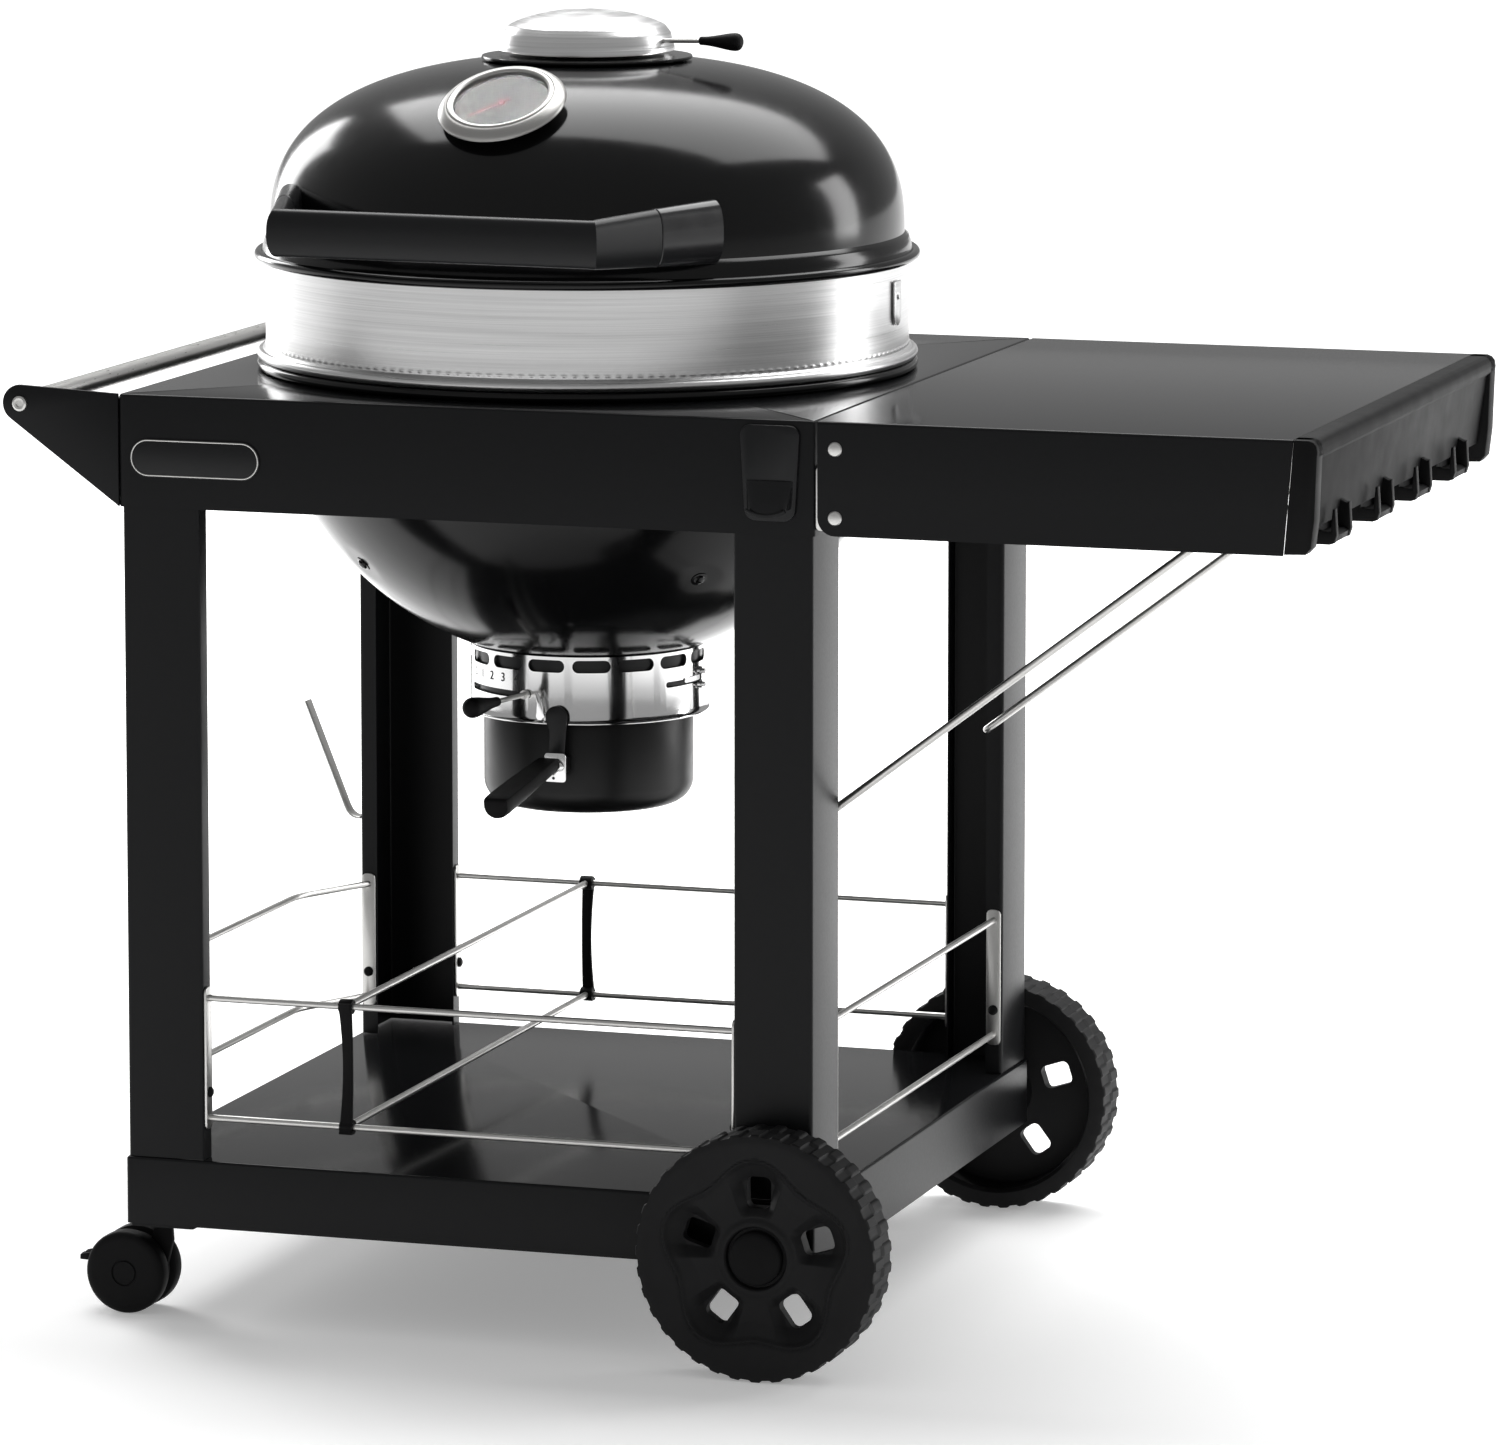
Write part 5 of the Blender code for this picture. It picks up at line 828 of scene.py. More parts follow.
lid_handle_z = lid_low + 0.048
foot = np.array([math.sin(math.pi / 4) * (DOME - 0.001), -math.cos(math.pi / 4) * (DOME - 0.001), lid_handle_z])
corner = np.array([0.147, -0.345, lid_handle_z])
arm = (foot - corner) / np.linalg.norm(foot - corner)
seam = corner + (foot - corner) * 0.5
arm_across = np.array([arm[1], -arm[0], 0])
mitre = RIGHT - arm
mitre_across = np.array([mitre[0], mitre[1], 0]) / np.linalg.norm(mitre[:2])
bar_half = 0.0098
mitre_width = bar_half / abs(mitre_across @ arm_across)
flip = np.array([-1.0, 1, 1])
near_mitre = [
    oval(seam - arm * 0.0004, arm_across, bar_half, 0.0248),
    oval(corner + arm * 0.0040, arm_across, bar_half, 0.0215),
    oval(corner, mitre_across, mitre_width, 0.0209),
    oval(corner - RIGHT * 0.0040, BACK * -1, bar_half, 0.0208),
]
rows = [row * flip for row in near_mitre] + near_mitre[::-1]
rows = [row if row[0, 1] >= row[len(row) // 2, 1] else np.roll(row, len(row) // 2, 0) for row in rows]
for i, row in enumerate(rows[1:], 1):
    away = [np.linalg.norm(
        np.roll(turned_row, k, 0) - rows[i - 1], axis=1
    ).sum() for turned_row in (row, row[::-1]) for k in range(len(row))]
    best = int(np.argmin(away))
    rows[i] = np.roll(row if best < len(row) else row[::-1], best % len(row), 0)
piece("handle_bar", [shell(on_lid(np.stack(rows)))], satin_black, "lid", ["lid_handle"], angle=28)
ferrule_gloss, coords, feed = finish("ferrule_black", (0.010, 0.010, 0.011), 0.2, **{"Specular IOR Level": 0.5})
feed(Roughness=coords.noise(50, 2.0).between(0.16, 0.24))
for across, side in ((-1, "left"), (1, "right")):
    share = np.array([0.0, 0.012, 0.30, 0.65, 0.97])
    rows = [
        oval(seam + (foot - seam) * s, arm_across, 0.0104 + 0.0030 * s, 0.0252 + 0.0030 * s) for s in share
    ]
    rows[0] = oval(seam + (foot - seam) * 0.002, arm_across, bar_half, 0.0246)
    rows = np.stack(rows) * (flip if across < 0 else 1)
    piece(f"ferrule_{side}", [shell(on_lid(rows))], ferrule_gloss, "lid", [f"handle_ferrule_{side}"])

# ---------------------------------------------------------------- thermometer
# A satin bezel with a bright inner ring stands out of the dome's front and faces up at the cook. The black dial
# has white marks and numbers round it and a red pointer, under a flat glass.
tilt = math.radians(61)
thermo_r = 0.205
thermo_z = SPRING + RISE * (1 - (thermo_r / DOME) ** POWER) ** (1 / POWER) - 0.004
thermo_at = on_lid(np.array([0.006, -thermo_r, thermo_z]))
thermo_out = LID_FRONT * math.cos(tilt) + UP * math.sin(tilt)
thermo_at -= 0.0120 * thermo_out
thermo_up = UP * math.cos(tilt) - LID_FRONT * math.sin(tilt)
thermo_right = np.cross(thermo_up, thermo_out)
bezel = smooth(
    [(0.0480, 0.0288), (0.0505, 0.0280), (0.0535, 0.0260), (0.0558, 0.0236), (0.0569, 0.0216), (0.0570, 0.0202)], 5
)
bezel = np.vstack([bezel, [(0.0120, 0.0196), (0.0120, -0.010), (0.0100, -0.010), (0.0100, 0.0204), (0.0480, 0.0204)]])
bezel_satin, coords, feed = finish("bezel_satin", (0.40, 0.395, 0.385), 0.38, 1.0)
feed(Roughness=coords.noise(70, 2.0).between(0.32, 0.44))
rim_ring = smooth(
    [
        (0.0418, 0.0215), (0.0418, 0.0275), (0.0428, 0.0290), (0.0444, 0.0297), (0.0462, 0.0297), (0.0474, 0.0288),
        (0.0480, 0.0270)
    ],
    4
)
rim_ring = np.vstack([rim_ring, [(0.0480, 0.0200), (0.0418, 0.0200)]])
piece(
    "thermometer_bezel", [spun(bezel, thermo_at, thermo_out, 128, thermo_up)], bezel_satin, "lid",
    ["thermometer_housing"]
)
piece(
    "thermometer_ring", [spun(rim_ring, thermo_at, thermo_out, 128, thermo_up)], bezel_satin, "lid"
)
dial_finish, coords, feed = finish("dial_black", (0.008, 0.008, 0.008), 0.6, **{"Specular IOR Level": 0.03})
feed(Roughness=coords.noise(80, 1.0).between(0.5, 0.7))
dial = spun(
    [(0, 0.0205), (0, 0.0220), (0.0415, 0.0220), (0.0415, 0.0205), (0, 0.0205)], thermo_at, thermo_out, 96, thermo_up
)
piece("thermometer_face", [dial], dial_finish, "lid", ["thermometer_dial"])
white_ink = finish("white_ink", (0.75, 0.75, 0.75), 0.6)[0]


def on_dial(flat, height):
    """Flat points (u, v) on the dial, a height above the thermometer's seat."""
    return thermo_at + flat[:, :1] * thermo_right + flat[:, 1:2] * thermo_up + height * thermo_out


marks = []
for number, azimuth in enumerate(np.linspace(-130, 130, 53)):
    turn = math.radians(azimuth)
    out, side = np.array([math.sin(turn), math.cos(turn)]), np.array([math.cos(turn), -math.sin(turn)])
    inner_r, half = (0.0268, 0.00032) if number % 4 == 0 else (0.0285, 0.0002)
    flat = np.array([
        out * inner_r - side * half, out * inner_r + side * half, out * 0.0305 + side * half,
        out * 0.0305 - side * half
    ])
    marks.append((on_dial(flat, 0.02215), [[0, 1, 2, 3]]))
for number, azimuth in enumerate(np.linspace(-130, 130, 7)):
    turn = math.radians(azimuth)
    for text, radius, size in ((str(100 * (number + 1)), 0.0352, 0.0068), (str(50 * (number + 1)), 0.0225, 0.0042)):
        flat, faces = lettering(text, size)
        flat = flat @ np.array([[math.cos(turn), -math.sin(turn)], [math.sin(turn), math.cos(turn)]])
        flat = flat + radius * np.array([math.sin(turn), math.cos(turn)])
        marks.append((on_dial(flat, 0.02215), faces))
piece("thermometer_marks", marks, white_ink, "lid")
red = finish("pointer_red", (0.45, 0.02, 0.015), 0.45)[0]
low, high = corners_of("thermometer_pointer")
aim = (low + high) / 2 - thermo_at
aim -= (aim @ thermo_out) * thermo_out
aim /= np.linalg.norm(aim)
hand = np.array([
    (-0.0012, -0.008), (0.0012, -0.008), (0.0011, 0.018), (0.0003, 0.033), (-0.0003, 0.033), (-0.0011, 0.018)
])
hand = slab(hand, 0.0006, thermo_at + 0.0231 * thermo_out, np.cross(aim, thermo_out), aim, 0.0001)
hub = spun(
    [(0, 0.0248), (0.0022, 0.0248), (0.0030, 0.0240), (0.0030, 0.0225), (0, 0.0225)], thermo_at, thermo_out, 24,
    thermo_up
)
piece("thermometer_hand", [hand, hub], red, "thermometer_pointer", ["thermometer_pointer"])
glass, coords, feed = finish(
    "clear_glass", (1, 1, 1), 0.03,
    **{"Transmission Weight": 1.0, "IOR": 1.45, "Specular IOR Level": 0.2, "Alpha": 0.08}
)
feed(Roughness=coords.noise(20, 1.0).between(0.02, 0.04))
pane = spun(
    [(0, 0.0262), (0, 0.0276), (0.0414, 0.0276), (0.0414, 0.0262), (0, 0.0262)], thermo_at, thermo_out, 64, thermo_up
)
piece("thermometer_pane", [pane], glass, "lid", ["thermometer_glass"])

# ---------------------------------------------------------------- lid vent
# A spun steel cap stands on a thin black flange over the vent. The damper's disc turns under the cap by a steel rod
# with a tapered plastic grip. Soft embossed petals stand in for the mark on the cap.
low, high = corners_of("vent_base")
flange_low = low[2]
flange = [(0.056, flange_low + 0.0012), (0.0800, flange_low), (0.0938, flange_low + 0.0008),
          (0.0944, flange_low + 0.0022),
          (0.0938, flange_low + 0.0034), (0.0800, flange_low + 0.0040), (0.0560, flange_low + 0.0045)]
piece("vent_flange", [spun(flange, AXIS_FOOT, UP, 160, BACK)], enamel, "lid", ["vent_base"])
low, high = corners_of("vent_cap")
cap_top = high[2]
drop = np.array([(0.0787, 0.0362), (0.0782, 0.0330), (0.0770, 0.0300), (0.0757, 0.0240), (0.0748, 0.0210),
                 (0.0720, 0.0172),
                 (0.0690, 0.0140), (0.0610, 0.0103), (0.0470, 0.0058), (0.0255, 0.0017), (0, 0.0003)])
over = smooth(np.column_stack([drop[:, 0], cap_top - drop[:, 1]]), 7)
under = [
    (0, cap_top - 0.0020), (0.0450, cap_top - 0.0075), (0.0680, cap_top - 0.0160), (0.0735, cap_top - 0.0230),
    (0.0765, cap_top - 0.0362)
]
points, faces = spun(np.vstack([over, under]), AXIS_FOOT, UP, 240, BACK)
flat_r, flat_turn = np.hypot(points[:, 0] - AXIS_X, points[:, 1]), np.arctan2(points[:, 1], points[:, 0] - AXIS_X)
petal = 0.5 + 0.5 * np.cos(5 * flat_turn + 40 * flat_r)
emboss = 0.0011 * petal * np.exp(-(((flat_r - 0.026) / 0.013) ** 2)) * (points[:, 2] > cap_top - 0.009)
points[:, 2] -= emboss
piece("vent_dome", [(points, faces)], brushed, "lid", ["vent_cap"], angle=40)
low, high = corners_of("vent_grip")
grip_at = (low + high) / 2 - np.array(AXIS_FOOT)
lever_out = np.array([grip_at[0], grip_at[1], 0]) / np.hypot(grip_at[0], grip_at[1])
lever_at = np.array([AXIS_X, 0, grip_at[2]])
low, high = corners_of("vent_damper")
disc = spun(
    [(0.004, low[2]), (0.0695, low[2]), (0.0695, low[2] + 0.0012), (0.004, low[2] + 0.0012)], AXIS_FOOT, UP, 96, BACK
)
rod = swept([lever_at + lever_out * 0.060 - UP * 0.0016, lever_at + lever_out * 0.114], 0.0021, UP, 14)
piece("damper", [disc, rod], satin_steel, "vent_damper", ["vent_damper"])
grip = spun(grip_profile(0.0415, 0.0080), lever_at + lever_out * 0.1123, lever_out, 32)
piece("damper_grip", [grip], moulded, "vent_damper", ["vent_grip"])

# ---------------------------------------------------------------- grates
# Two round grates of welded steel rods inside the bowl, each of parallel rods with a rod round its edge: the cooking
# grate just below its mouth, and the coarser charcoal grate on the bowl's floor.
for node, pitch, thick in (("cooking_grate", 0.0150, 0.0024), ("charcoal_grate", 0.0270, 0.0030)):
    low, high = corners_of(node)
    reach, level = (high[0] - low[0]) / 2 - thick, high[2] - thick
    rods = []
    for x in np.arange(-math.floor(reach / pitch), math.floor(reach / pitch) + 1) * pitch:
        half = math.sqrt(max(reach**2 - x**2, 1e-6))
        if half > 0.03:
            rods.append(swept([(AXIS_X + x, -half, level), (AXIS_X + x, half, level)], thick, UP, 8))
    circle = arc((AXIS_X, 0), reach, 0, 360, 72)
    rods.append(swept(np.column_stack([circle, np.full(len(circle), level)]), thick, UP, 8))
    piece(node + "_rods", rods, satin_steel, node, [node])

# ---------------------------------------------------------------- side shelf
# A tray of the table's sheet that folds down about pins in its inboard corners. Its skirts' lower corners are rounded
# about the pins, and its outboard end slants in to meet the cap.
low, high = corners_of("side_shelf")
pin_low = corners_of("shelf_bracket_front")[0]
pin_x, pin_z = 0.336 + AXIS_X, pin_low[2] + 0.012
shelf_start, shelf_end, shelf_low = low[0], high[0], low[2]
corner_r = pin_z - shelf_low
fan = np.radians(np.linspace(0, 90, 8))
skirt_z = np.concatenate([pin_z - corner_r * np.cos(fan), [pin_z + 0.02, table_top]])
path = np.vstack([
    np.column_stack([np.full(len(skirt_z), -half_y), skirt_z]),
    np.column_stack([np.full(len(skirt_z), half_y), skirt_z[::-1]])
])
bends = rounded(path[len(skirt_z) - 2 : len(skirt_z) + 2], 0.0030)
path = np.vstack([path[: len(skirt_z) - 2], bends, path[len(skirt_z) + 2 :]])
section = folded(path, -SHEET)
y, z = section[:, 0], section[:, 1]
start = np.where(
    z < pin_z, pin_x - np.sqrt(np.maximum(corner_r**2 - (pin_z - np.maximum(z, shelf_low)) ** 2, 0)), shelf_start
)
stop = shelf_end - 0.008 * (table_top - z) / (table_top - shelf_low)
rows = np.stack([np.column_stack([start + (stop - start) * s, y, z]) for s in np.linspace(0, 1, 12)])
piece("shelf_tray", [shell(rows)], powder_coat, "side_shelf", ["side_shelf"])
lugs = [
    shell(laid(layered(round_box(0.009, 0.004, 0.002, 3), [(0.0005, 0), (0, 0.0005), (0, 0.012)]),
               (0.7075 + AXIS_X, along * (half_y - 0.010), shelf_low), RIGHT, BACK, UP))
    for along in (-1, 1)
]
piece("shelf_lugs", lugs, moulded, "side_shelf")
for along, end in ((-1, "front"), (1, "rear")):
    outward = BACK * along
    skirt_inside = along * (half_y - SHEET - 0.0008)
    blade = slab(
        round_box(0.0148, 0.0275, 0.004, 5), 0.0022,
        (
            shelf_start + 0.0125, skirt_inside - (0.0022 if along > 0 else 0) + (0.0022 if along < 0 else 0),
            pin_z + 0.0160
        ),
        RIGHT, UP, 0.0003
    )
    tab = slab(
        round_box(0.0165, 0.0275, 0.003, 4), 0.0020,
        (shelf_start - 0.0015, along * (half_y - 0.0200), pin_z + 0.0160), BACK, UP, 0.0003
    )
    head = [
        (0, 0.0019), (0.0030, 0.0018), (0.0055, 0.0012), (0.0063, 0.0002), (0.0063, -0.0002), (0.0036, -0.0002),
        (0.0036, -0.0060), (0, -0.0060)
    ]
    pin = spun(head, (pin_x, along * (half_y + 0.0001), pin_z), outward, 32)
    piece(f"shelf_hinge_{end}", [blade, tab, pin], satin_steel, "cart", [f"shelf_bracket_{end}"])
    lock = spun(head, (pin_x, along * (half_y + 0.0001), pin_z + 0.059), outward, 32)
    piece(f"shelf_lock_pin_{end}", [lock], satin_steel, "side_shelf")

# ---------------------------------------------------------------- shelf end cap
# A moulded cap across the shelf's end: a rounded top rail, a post at each corner, a recessed face between them that
# slants inwards, and four tool hooks along the bottom. Each hook has a bed between two prongs, of which the front one
# is notched to a J and the rear one is closed.
low, high = corners_of("shelf_end_cap")
x0, x1, z0, z1 = low[0], high[0], low[2], high[2]
rail = [(x0 + 0.0078, z1), (x1 - 0.0075, z1), (x1 - 0.0035, z1 - 0.0016), (x1 - 0.0008, z1 - 0.0050)]
rail += [(x1, z1 - 0.0100), (x1 - 0.0004, z1 - 0.0140), (x1 - 0.0042, z1 - 0.0180)]
web = [(x1 - 0.0056, z1 - 0.030), (x1 - 0.0120, z0 + 0.018), (x0 + 0.0014, z0 + 0.0170)]
post = [
    (x1 - 0.0010, z1 - 0.030), (x1 - 0.0022, z0 + 0.030), (x1 - 0.0050, z0 + 0.006), (x1 - 0.0100, z0 + 0.0006),
    (x0, z0)
]


def bar_along_y(outline, start, stop, edge=0.0012):
    """An (x, z) outline carried from one y to another, its two ends rounded by the edge rule of slab."""
    outline = np.asarray(outline, float)
    area = np.roll(outline, -1, 0)
    if ((area[:, 0] - outline[:, 0]) * (area[:, 1] + outline[:, 1])).sum() > 0:
        outline = outline[::-1]
    return slab(outline, stop - start, (0, stop, 0), RIGHT, UP, edge)


parts = [bar_along_y(rail + web, low[1] + 0.006, high[1] - 0.006, 0.0002)]
for start, stop in ((low[1], low[1] + 0.0200), (high[1] - 0.0200, high[1])):
    parts.append(bar_along_y(rail[:-1] + post, start, stop, 0.0015))
prong = [(x0 + 0.0030, z0 + 0.040), (x0 + 0.0100, z0 + 0.038), (x0 + 0.0110, z0 + 0.0120), (x1 - 0.0062, z0 + 0.0110)]
prong += [
    (x1 - 0.0048, z0 + 0.0300), (x1 - 0.0024, z0 + 0.0305), (x1 - 0.0010, z0 + 0.0080), (x1 - 0.0030, z0 + 0.0014)
]
prong += [(x1 - 0.0070, z0), (x0 + 0.0004, z0)]
bed = [(x0 + 0.0018, z0 + 0.0220), (x0 + 0.0100, z0 + 0.0210), (x0 + 0.0112, z0 + 0.0100), (x1 - 0.0066, z0 + 0.0092)]
bed += [
    (x1 - 0.0026, z0 + 0.0066), (x1 - 0.0036, z0 + 0.0016), (x1 - 0.0072, z0 + 0.0002), (x0 + 0.0006, z0 + 0.0002)
]
for y in (-0.231, -0.079, 0.062, 0.205):
    parts.append(bar_along_y(prong, y - 0.0290, y - 0.0210, 0.0010))
    parts.append(bar_along_y(prong[:1] + prong[4:], y + 0.0210, y + 0.0290, 0.0010))
    parts.append(bar_along_y(bed, y - 0.0280, y + 0.0280, 0.0008))
piece("end_cap", parts, moulded, "side_shelf", ["shelf_end_cap"])

# ---------------------------------------------------------------- shelf brace and its keeper
# A bent steel wire whose feet turn in holes in the right legs' lips. Its bar rests behind a folded steel keeper under
# the tray while the shelf is up.
low, high = corners_of("shelf_brace")
wire_r = 0.0035
foot_x, foot_z, bar_x2, bar_z2 = low[0] + wire_r, low[2] + wire_r, high[0] - wire_r, high[2] - wire_r
arm_y = 0.2451
path = [
    (foot_x, low[1], foot_z), (foot_x, -arm_y, foot_z), (bar_x2, -arm_y, bar_z2), (bar_x2, arm_y, bar_z2),
    (foot_x, arm_y, foot_z), (foot_x, high[1], foot_z)
]
bent = rounded(rounded(path, 0.010), 0.002)
piece(
    "brace_wire", [swept(bent, wire_r, (0.2, 0.1, 1), 18)], satin_steel, "shelf_brace", ["shelf_brace"]
)
low, high = corners_of("brace_keeper")
keeper = folded(
    rounded(
        [
            (low[0] + 0.001, low[2]), (low[0] + 0.001, bar_z2 + wire_r + 0.0020),
            (high[0] - 0.001, bar_z2 + wire_r + 0.0020), (high[0] - 0.001, high[2])
        ],
        0.003
    ),
    0.0012
)
piece(
    "keeper", [bar_along_y(keeper, low[1], high[1], 0.0003)], satin_steel, "side_shelf",
    ["brace_keeper"]
)

# ---------------------------------------------------------------- storage racks
# Two steel rods between upright plates on each side of the deck, each plate held to a leg by a black screw. The left
# rack bows outwards.
rod_r, rod_inset, screw_rise = 0.003, 0.010, 0.033
bolts = []
for end, along in (("front", -1), ("rear", 1)):
    low, high = corners_of(f"rack_{end}")
    y, levels = (low[1] + high[1]) / 2, (low[2] + rod_inset, high[2] - rod_inset)
    rods = [swept([(low[0] + 0.001, y, z), (high[0] - 0.001, y, z)], rod_r, UP, 16) for z in levels]
    plate = round_box((high[1] - low[1]) / 2, (high[2] - low[2]) / 2, 0.0050, 5)
    for x in (low[0], high[0] - 0.002):
        rods.append(slab(plate, 0.002, (x, y, (low[2] + high[2]) / 2), BACK, UP, 0.0003))
    piece(f"rack_rods_{end}", rods, satin_steel, "cart", [f"rack_{end}"])
    screw = [(0, 0.0034), (0.0030, 0.0030), (0.0046, 0.0014), (0.0046, 0), (0, 0)]
    bolts += [
        spun(screw, (x, y, low[2] + screw_rise), RIGHT * s, 20) for x,
        s in ((low[0] + 0.002, 1), (high[0] - 0.002, -1))
    ]
for side, across in (("left", -1), ("right", 1)):
    low, high = corners_of(f"rack_{side}")
    x = (high[0] if across < 0 else low[0]) + across * 0.00675
    reach, levels = high[1], (low[2] + rod_inset, high[2] - rod_inset)
    rods = []
    for z in levels:
        path = [(x, -reach + 0.001, z), (x, reach - 0.001, z)]
        if across < 0:
            bulge = low[0] + rod_r
            path[1:1] = [(bulge, -reach + 0.086, z), (bulge, reach - 0.086, z)]
            path = rounded(path, 0.016)
        rods.append(swept(path, rod_r, UP, 16))
    plate = round_box(0.00675, (high[2] - low[2]) / 2, 0.0050, 5)
    for y in (-reach + 0.002, reach):
        rods.append(slab(plate, 0.002, (x, y, (low[2] + high[2]) / 2), RIGHT, UP, 0.0003))
    piece(f"rack_rods_{side}", rods, satin_steel, "cart", [f"rack_{side}"])
    bolts += [
        spun(screw, (x, y, low[2] + screw_rise), BACK * s, 20) for y, s in ((-reach + 0.002, 1), (reach - 0.002, -1))
    ]
piece("rack_screws", bolts, moulded, "cart")

# ---------------------------------------------------------------- sliding divider
# Two more rods across the deck, between black plastic clips that ride on the front and rear racks' rods. Each clip is a
# bowed strip, concave towards the deck's middle, with a boss at either end.
low, high = corners_of("rack_divider")
x = (low[0] + high[0]) / 2
rack_low, rack_high = corners_of("rack_front")
top_z, low_z = rack_high[2] - rod_inset, rack_low[2] + rod_inset
rods = [swept([(x, low[1] + 0.010, z), (x, high[1] - 0.010, z)], rod_r, UP, 16) for z in (low_z, top_z)]
piece("divider_rods", rods, satin_steel, "divider", ["rack_divider"])
clips = []
for along in (-1, 1):
    rise = np.linspace(0, 1, 25)
    spine_z = low[2] + 0.0062 + (high[2] - low[2] - 0.0124) * rise
    bow = 0.0075 * np.sin(np.pi * rise) ** 0.8
    spine = np.column_stack([np.full(25, x), along * (0.3262 - bow), spine_z])
    wide = 0.0060 - 0.0014 * np.sin(np.pi * rise)
    strip = round_box(1.0, 0.42, 0.25, 3)
    clips.append(swept(spine, wide, BACK, section=strip))
    for z in (low_z, top_z):
        clips.append(spun(
            [(0, 0), (0.0062, 0), (0.0066, 0.0012), (0.0066, 0.0108), (0.0062, 0.0120), (0, 0.0120)],
            (x - 0.006, along * 0.3207, z), RIGHT, 28
        ))
piece("divider_clips", clips, moulded, "divider")

# ---------------------------------------------------------------- lid hook
# A flat steel bar bolted to the rear left leg and bent up into a hook for the lid.
low, high = corners_of("lid_hook")
hook_y, top = (low[1] + high[1]) / 2, high[2]
path = rounded(
    [
        (high[0] - 0.0012, top), (high[0] - 0.0012, top - 0.101), (high[0] - 0.0040, top - 0.1105),
        (high[0] - 0.0195, top - 0.1088), (low[0] + 0.0010, top - 0.0005)
    ],
    0.010
)
path = np.column_stack([path[:, 0], np.full(len(path), hook_y), path[:, 1]])
strip = round_box(0.5, 0.08, 0.075, 4)
piece(
    "hook", [swept(path, (high[1] - low[1]) * 0.995, RIGHT + UP * 0.3, section=strip)], satin_steel, "cart",
    ["lid_hook"]
)

# ---------------------------------------------------------------- wheels
# Matt black wheels with two offset rows of tread blocks. A wavy groove with five lobes runs round the dished face,
# which has a window in each lobe, ribs between them and a domed cap over the hub.
wheel_finish, coords, feed = finish("tyre_black", (0.0065, 0.0065, 0.0070), 0.6, **{"Specular IOR Level": 0.2})
feed(
    Roughness=coords.noise(30, 2.0).between(0.52, 0.68), Normal=grained(coords, coords.noise(900, 2.0), 0.15, 0.0003)
)
low, high = corners_of("axle")
axle_r = (high[2] - low[2]) / 2
axle = spun(
    [(0, 0), (axle_r, 0), (axle_r, high[1] - low[1]), (0, high[1] - low[1])],
    ((low[0] + high[0]) / 2, low[1], (low[2] + high[2]) / 2), BACK, 32
)
piece("axle_rod", [axle], satin_steel, "cart", ["axle"])
WHEEL_R, WHEEL_W = 0.108, 0.052
tread_mid = WHEEL_W / 2
face_r = np.concatenate([[0.0068, 0.0260], np.linspace(0.0270, 0.0960, 52)])
tread_w = np.array([0.0505, 0.0490, 0.0480, 0.0290, 0.0282, 0.0238, 0.0230, 0.0040, 0.0030, 0.0015])
wheel_profile = np.vstack([
    np.column_stack([face_r, np.full(len(face_r), WHEEL_W)]),
    [(0.1000, WHEEL_W), (0.1025, WHEEL_W - 0.0003)],
    np.column_stack([np.full(len(tread_w), WHEEL_R), tread_w]),
    [
        (0.1030, 0.0), (0.0930, 0.0), (0.0900, 0.0040), (0.0880, 0.0300), (0.0400, 0.0270), (0.0300, 0.0250),
        (0.0250, 0.0040), (0.0220, 0.0), (0.0068, 0.0)
    ],
])
grid = turned(np.vstack([wheel_profile, wheel_profile[:1]]), 540)
radius, turn, across_w = np.hypot(grid[..., 0], grid[..., 1]), np.arctan2(grid[..., 1], grid[..., 0]), grid[..., 2]
lobe = np.cos(5 * (turn - math.pi / 2))
wave = 0.0780 + 0.0072 * lobe
inside = np.clip((wave - 0.0012 - radius) / 0.0150, 0, 1)
pocket = np.clip(lobe * 1.4 + 0.35, 0, 1) * np.clip((radius - 0.0370) / 0.0090, 0, 1)
dish = 0.0022 * np.clip((wave - radius) / 0.0030, 0, 1) + inside * (0.0028 + 0.0090 * pocket)
groove = 0.0012 * np.exp(-(((radius - wave - 0.0022) / 0.0011) ** 2))
hub = np.clip((0.0350 - radius) / 0.0040, 0, 1)
dish = np.where(hub > 0, dish * (1 - hub) + 0.0030 * hub, dish)
dish += 0.0050 * np.clip((0.0272 - radius) / 0.0008, 0, 1)
face = (np.arange(len(grid)) < len(face_r))[:, None]
grid[..., 2] -= (dish + groove) * face
lug_row = np.where(across_w > tread_mid, 0.0, math.pi)
lug = np.clip(0.5 + 2.2 * np.cos(36 * turn + lug_row), 0, 1)
on_tread = (np.arange(len(grid)) >= len(face_r) + 2) & (np.arange(len(grid)) < len(face_r) + 2 + len(tread_w))
middle_gap = np.abs(across_w - tread_mid) < 0.0016
cut = np.where(middle_gap, 0.0024, 0.0018 * (1 - lug))
cut = np.where((across_w > 0.0495) | (across_w < 0.0020), cut * 0.6 + 0.0010, cut)
grid[..., :2] *= (1 - cut * on_tread[:, None] / WHEEL_R)[..., None]
windows = []
for number in range(5):
    a = math.radians(90 + 72 * number)
    hole = round_box(0.0135, 0.0108, 0.0055, 5) + np.array([0.0560, 0])
    hole = hole @ np.array([[math.cos(a), math.sin(a)], [-math.sin(a), math.cos(a)]])
    windows.append(extruded(hole, -0.01, WHEEL_W + 0.01))
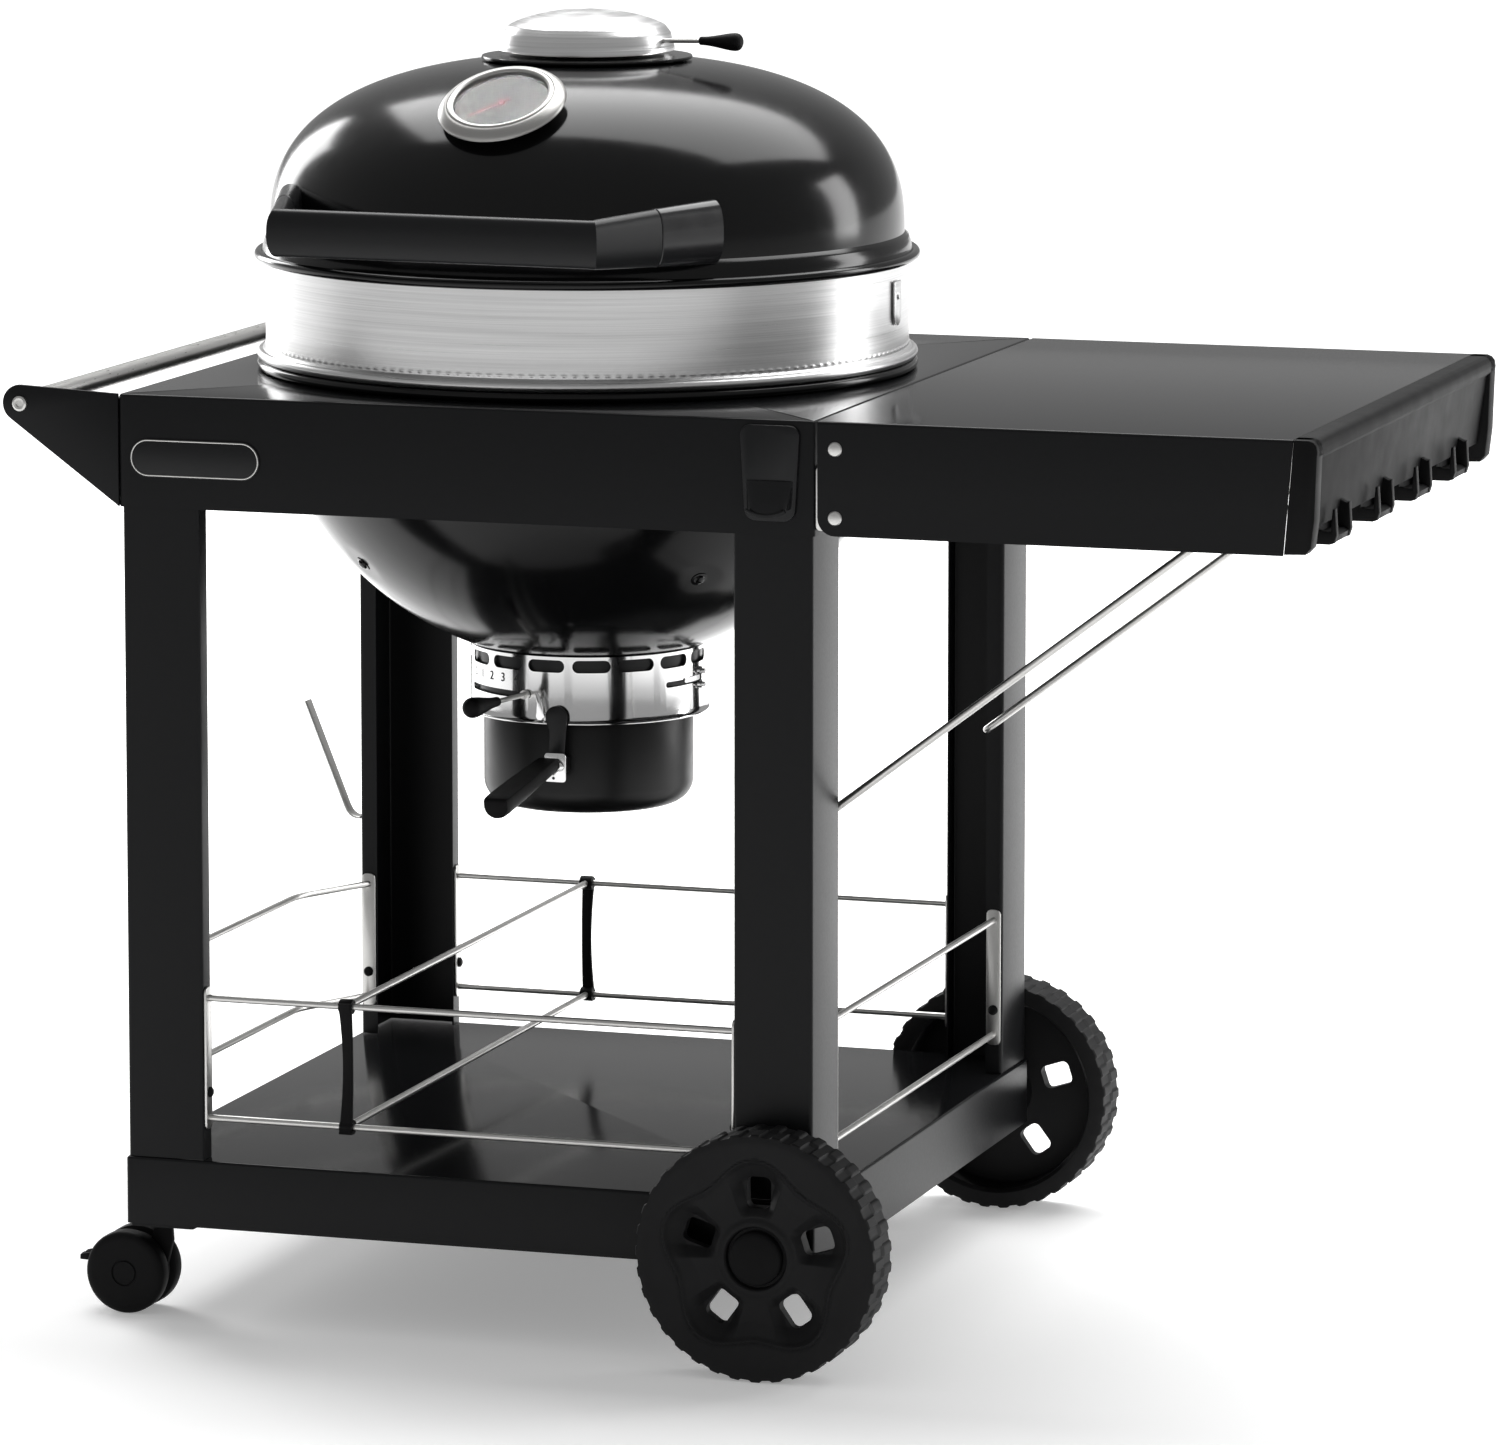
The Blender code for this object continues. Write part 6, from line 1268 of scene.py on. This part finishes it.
for end, along in (("front", -1), ("rear", 1)):
    low, high = corners_of(f"wheel_{end}")
    hub_at = np.array([(low[0] + high[0]) / 2, high[1] if along < 0 else low[1], WHEEL_R])
    out = BACK * along
    side = np.cross(UP, out)
    hollow = [shell(laid(w, hub_at, side, UP, out)) for w in windows]
    body = shell(laid(grid, hub_at, side, UP, out), ends=False)
    piece(
        f"wheel_{end}_moulding", [body], wheel_finish, f"wheel_{end}", [f"wheel_{end}"], angle=30,
        cutters=hollow
    )
    cap = smooth(
        [
            (0, 0.0558), (0.0090, 0.0553), (0.0170, 0.0540), (0.0212, 0.0528), (0.0232, 0.0508), (0.0238, 0.0480),
            (0.0238, 0.0445)
        ],
        5
    )
    cap = np.vstack([cap, [(0, 0.0445)]])
    piece(
        f"wheel_{end}_cap", [spun(cap, hub_at, out, 64)], moulded, f"wheel_{end}",
        [f"wheel_cap_{end}"]
    )

# ---------------------------------------------------------------- casters
# Twin discs on each side of a thin hood that turns on a stem under the deck. A forked brake pedal clips over the hood,
# and each disc has a fine groove round its hub.
disc_profile = np.array([(0, 0.0240), (0.0100, 0.0242), (0.0104, 0.0230), (0.0116, 0.0230),
                         (0.0120, 0.0243), (0.0290, 0.0249), (0.0322, 0.0246), (0.0345, 0.0236),
                         (0.0362, 0.0222), (0.0370, 0.0200), (0.0370, 0.0105), (0.0362, 0.0085),
                         (0.0345, 0.0076), (0.0, 0.0076)])
for end, along in (("front", -1), ("rear", 1)):
    low, high = corners_of(f"caster_{end}_wheel")
    hub_at = (low + high) / 2
    discs = [spun(disc_profile, hub_at, FRONT * s, 72) for s in (1, -1)]
    discs.append(spun([(0, -0.009), (0.0050, -0.009), (0.0050, 0.009), (0, 0.009)], hub_at, FRONT, 24))
    piece(f"caster_{end}_discs", discs, moulded, f"caster_{end}_wheel", [f"caster_{end}_wheel"])
    low, high = corners_of(f"caster_{end}_hood")
    stem_x, stem_top = hub_at[0] + 0.029, high[2]
    outline = np.vstack([
        arc((hub_at[0], hub_at[2]), 0.0330, 58, 142, 16),
        [
            (hub_at[0] - 0.0150, hub_at[2] + 0.0020), (hub_at[0] - 0.0110, hub_at[2] - 0.0020),
            (hub_at[0], hub_at[2] - 0.0120)
        ],
        arc((hub_at[0], hub_at[2]), 0.0330, -20, 10, 6),
        [
            (stem_x + 0.0088, stem_top - 0.0200), (stem_x + 0.0080, stem_top - 0.0080),
            (stem_x - 0.0080, stem_top - 0.0080)
        ],
    ])
    fin = slab(outline, 0.0060, (0, hub_at[1] + 0.0030, 0), RIGHT, UP, 0.0006)
    stem = spun(
        [(0, 0), (0.0078, 0), (0.0085, 0.0010), (0.0085, 0.0095), (0, 0.0095)],
        (stem_x, hub_at[1], stem_top - 0.0095), UP, 32, BACK
    )
    piece(f"caster_{end}_fork", [fin, stem], moulded, f"caster_{end}_swivel", [f"caster_{end}_hood"])
    low, high = corners_of(f"caster_{end}_brake")
    tip, foot_low, foot_high = low[0], low[2], high[2]
    pedal = rounded(
        [
            (tip, foot_low + 0.0005), (tip + 0.0130, foot_low), (high[0] - 0.0060, foot_high - 0.0090),
            (high[0], foot_high - 0.0040), (high[0] - 0.0044, foot_high), (tip + 0.0120, foot_low + 0.0080),
            (tip, foot_low + 0.0052), (tip, foot_low + 0.0005)
        ],
        0.0015
    )[:-1]
    arms = [slab(pedal[::-1], 0.0024, (0, hub_at[1] + s * 0.0048 + 0.0012, 0), RIGHT, UP, 0.0004) for s in (-1, 1)]
    tread = rounded(
        [
            (tip, foot_low + 0.0003), (tip + 0.0105, foot_low), (tip + 0.0105, foot_low + 0.0072),
            (tip, foot_low + 0.0052), (tip, foot_low + 0.0003)
        ],
        0.0015
    )[:-1]
    pad = slab(tread, 0.0216, (0, hub_at[1] + 0.0108, 0), RIGHT, UP, 0.0006)
    piece(
        f"caster_{end}_pedal", arms + [pad], moulded, f"caster_{end}_brake", [f"caster_{end}_brake"]
    )

# ---------------------------------------------------------------- fasteners
# Black button screws hold the legs to the deck.
button = [(0, 0.0028), (0.0026, 0.0025), (0.0043, 0.0012), (0.0045, 0), (0, 0)]
fasteners = []
for end, along in (("front", -1), ("rear", 1)):
    for side, across in (("left", -1), ("right", 1)):
        low, high = corners_of(f"leg_{end}_{side}")
        flange_x = low[0] if across > 0 else high[0]
        fasteners.append(spun(
            button, (flange_x - across * 0.0002, along * (half_y - 0.0110), 0.2070), RIGHT * -across, 20
        ))
piece("leg_screws", fasteners, moulded, "cart")
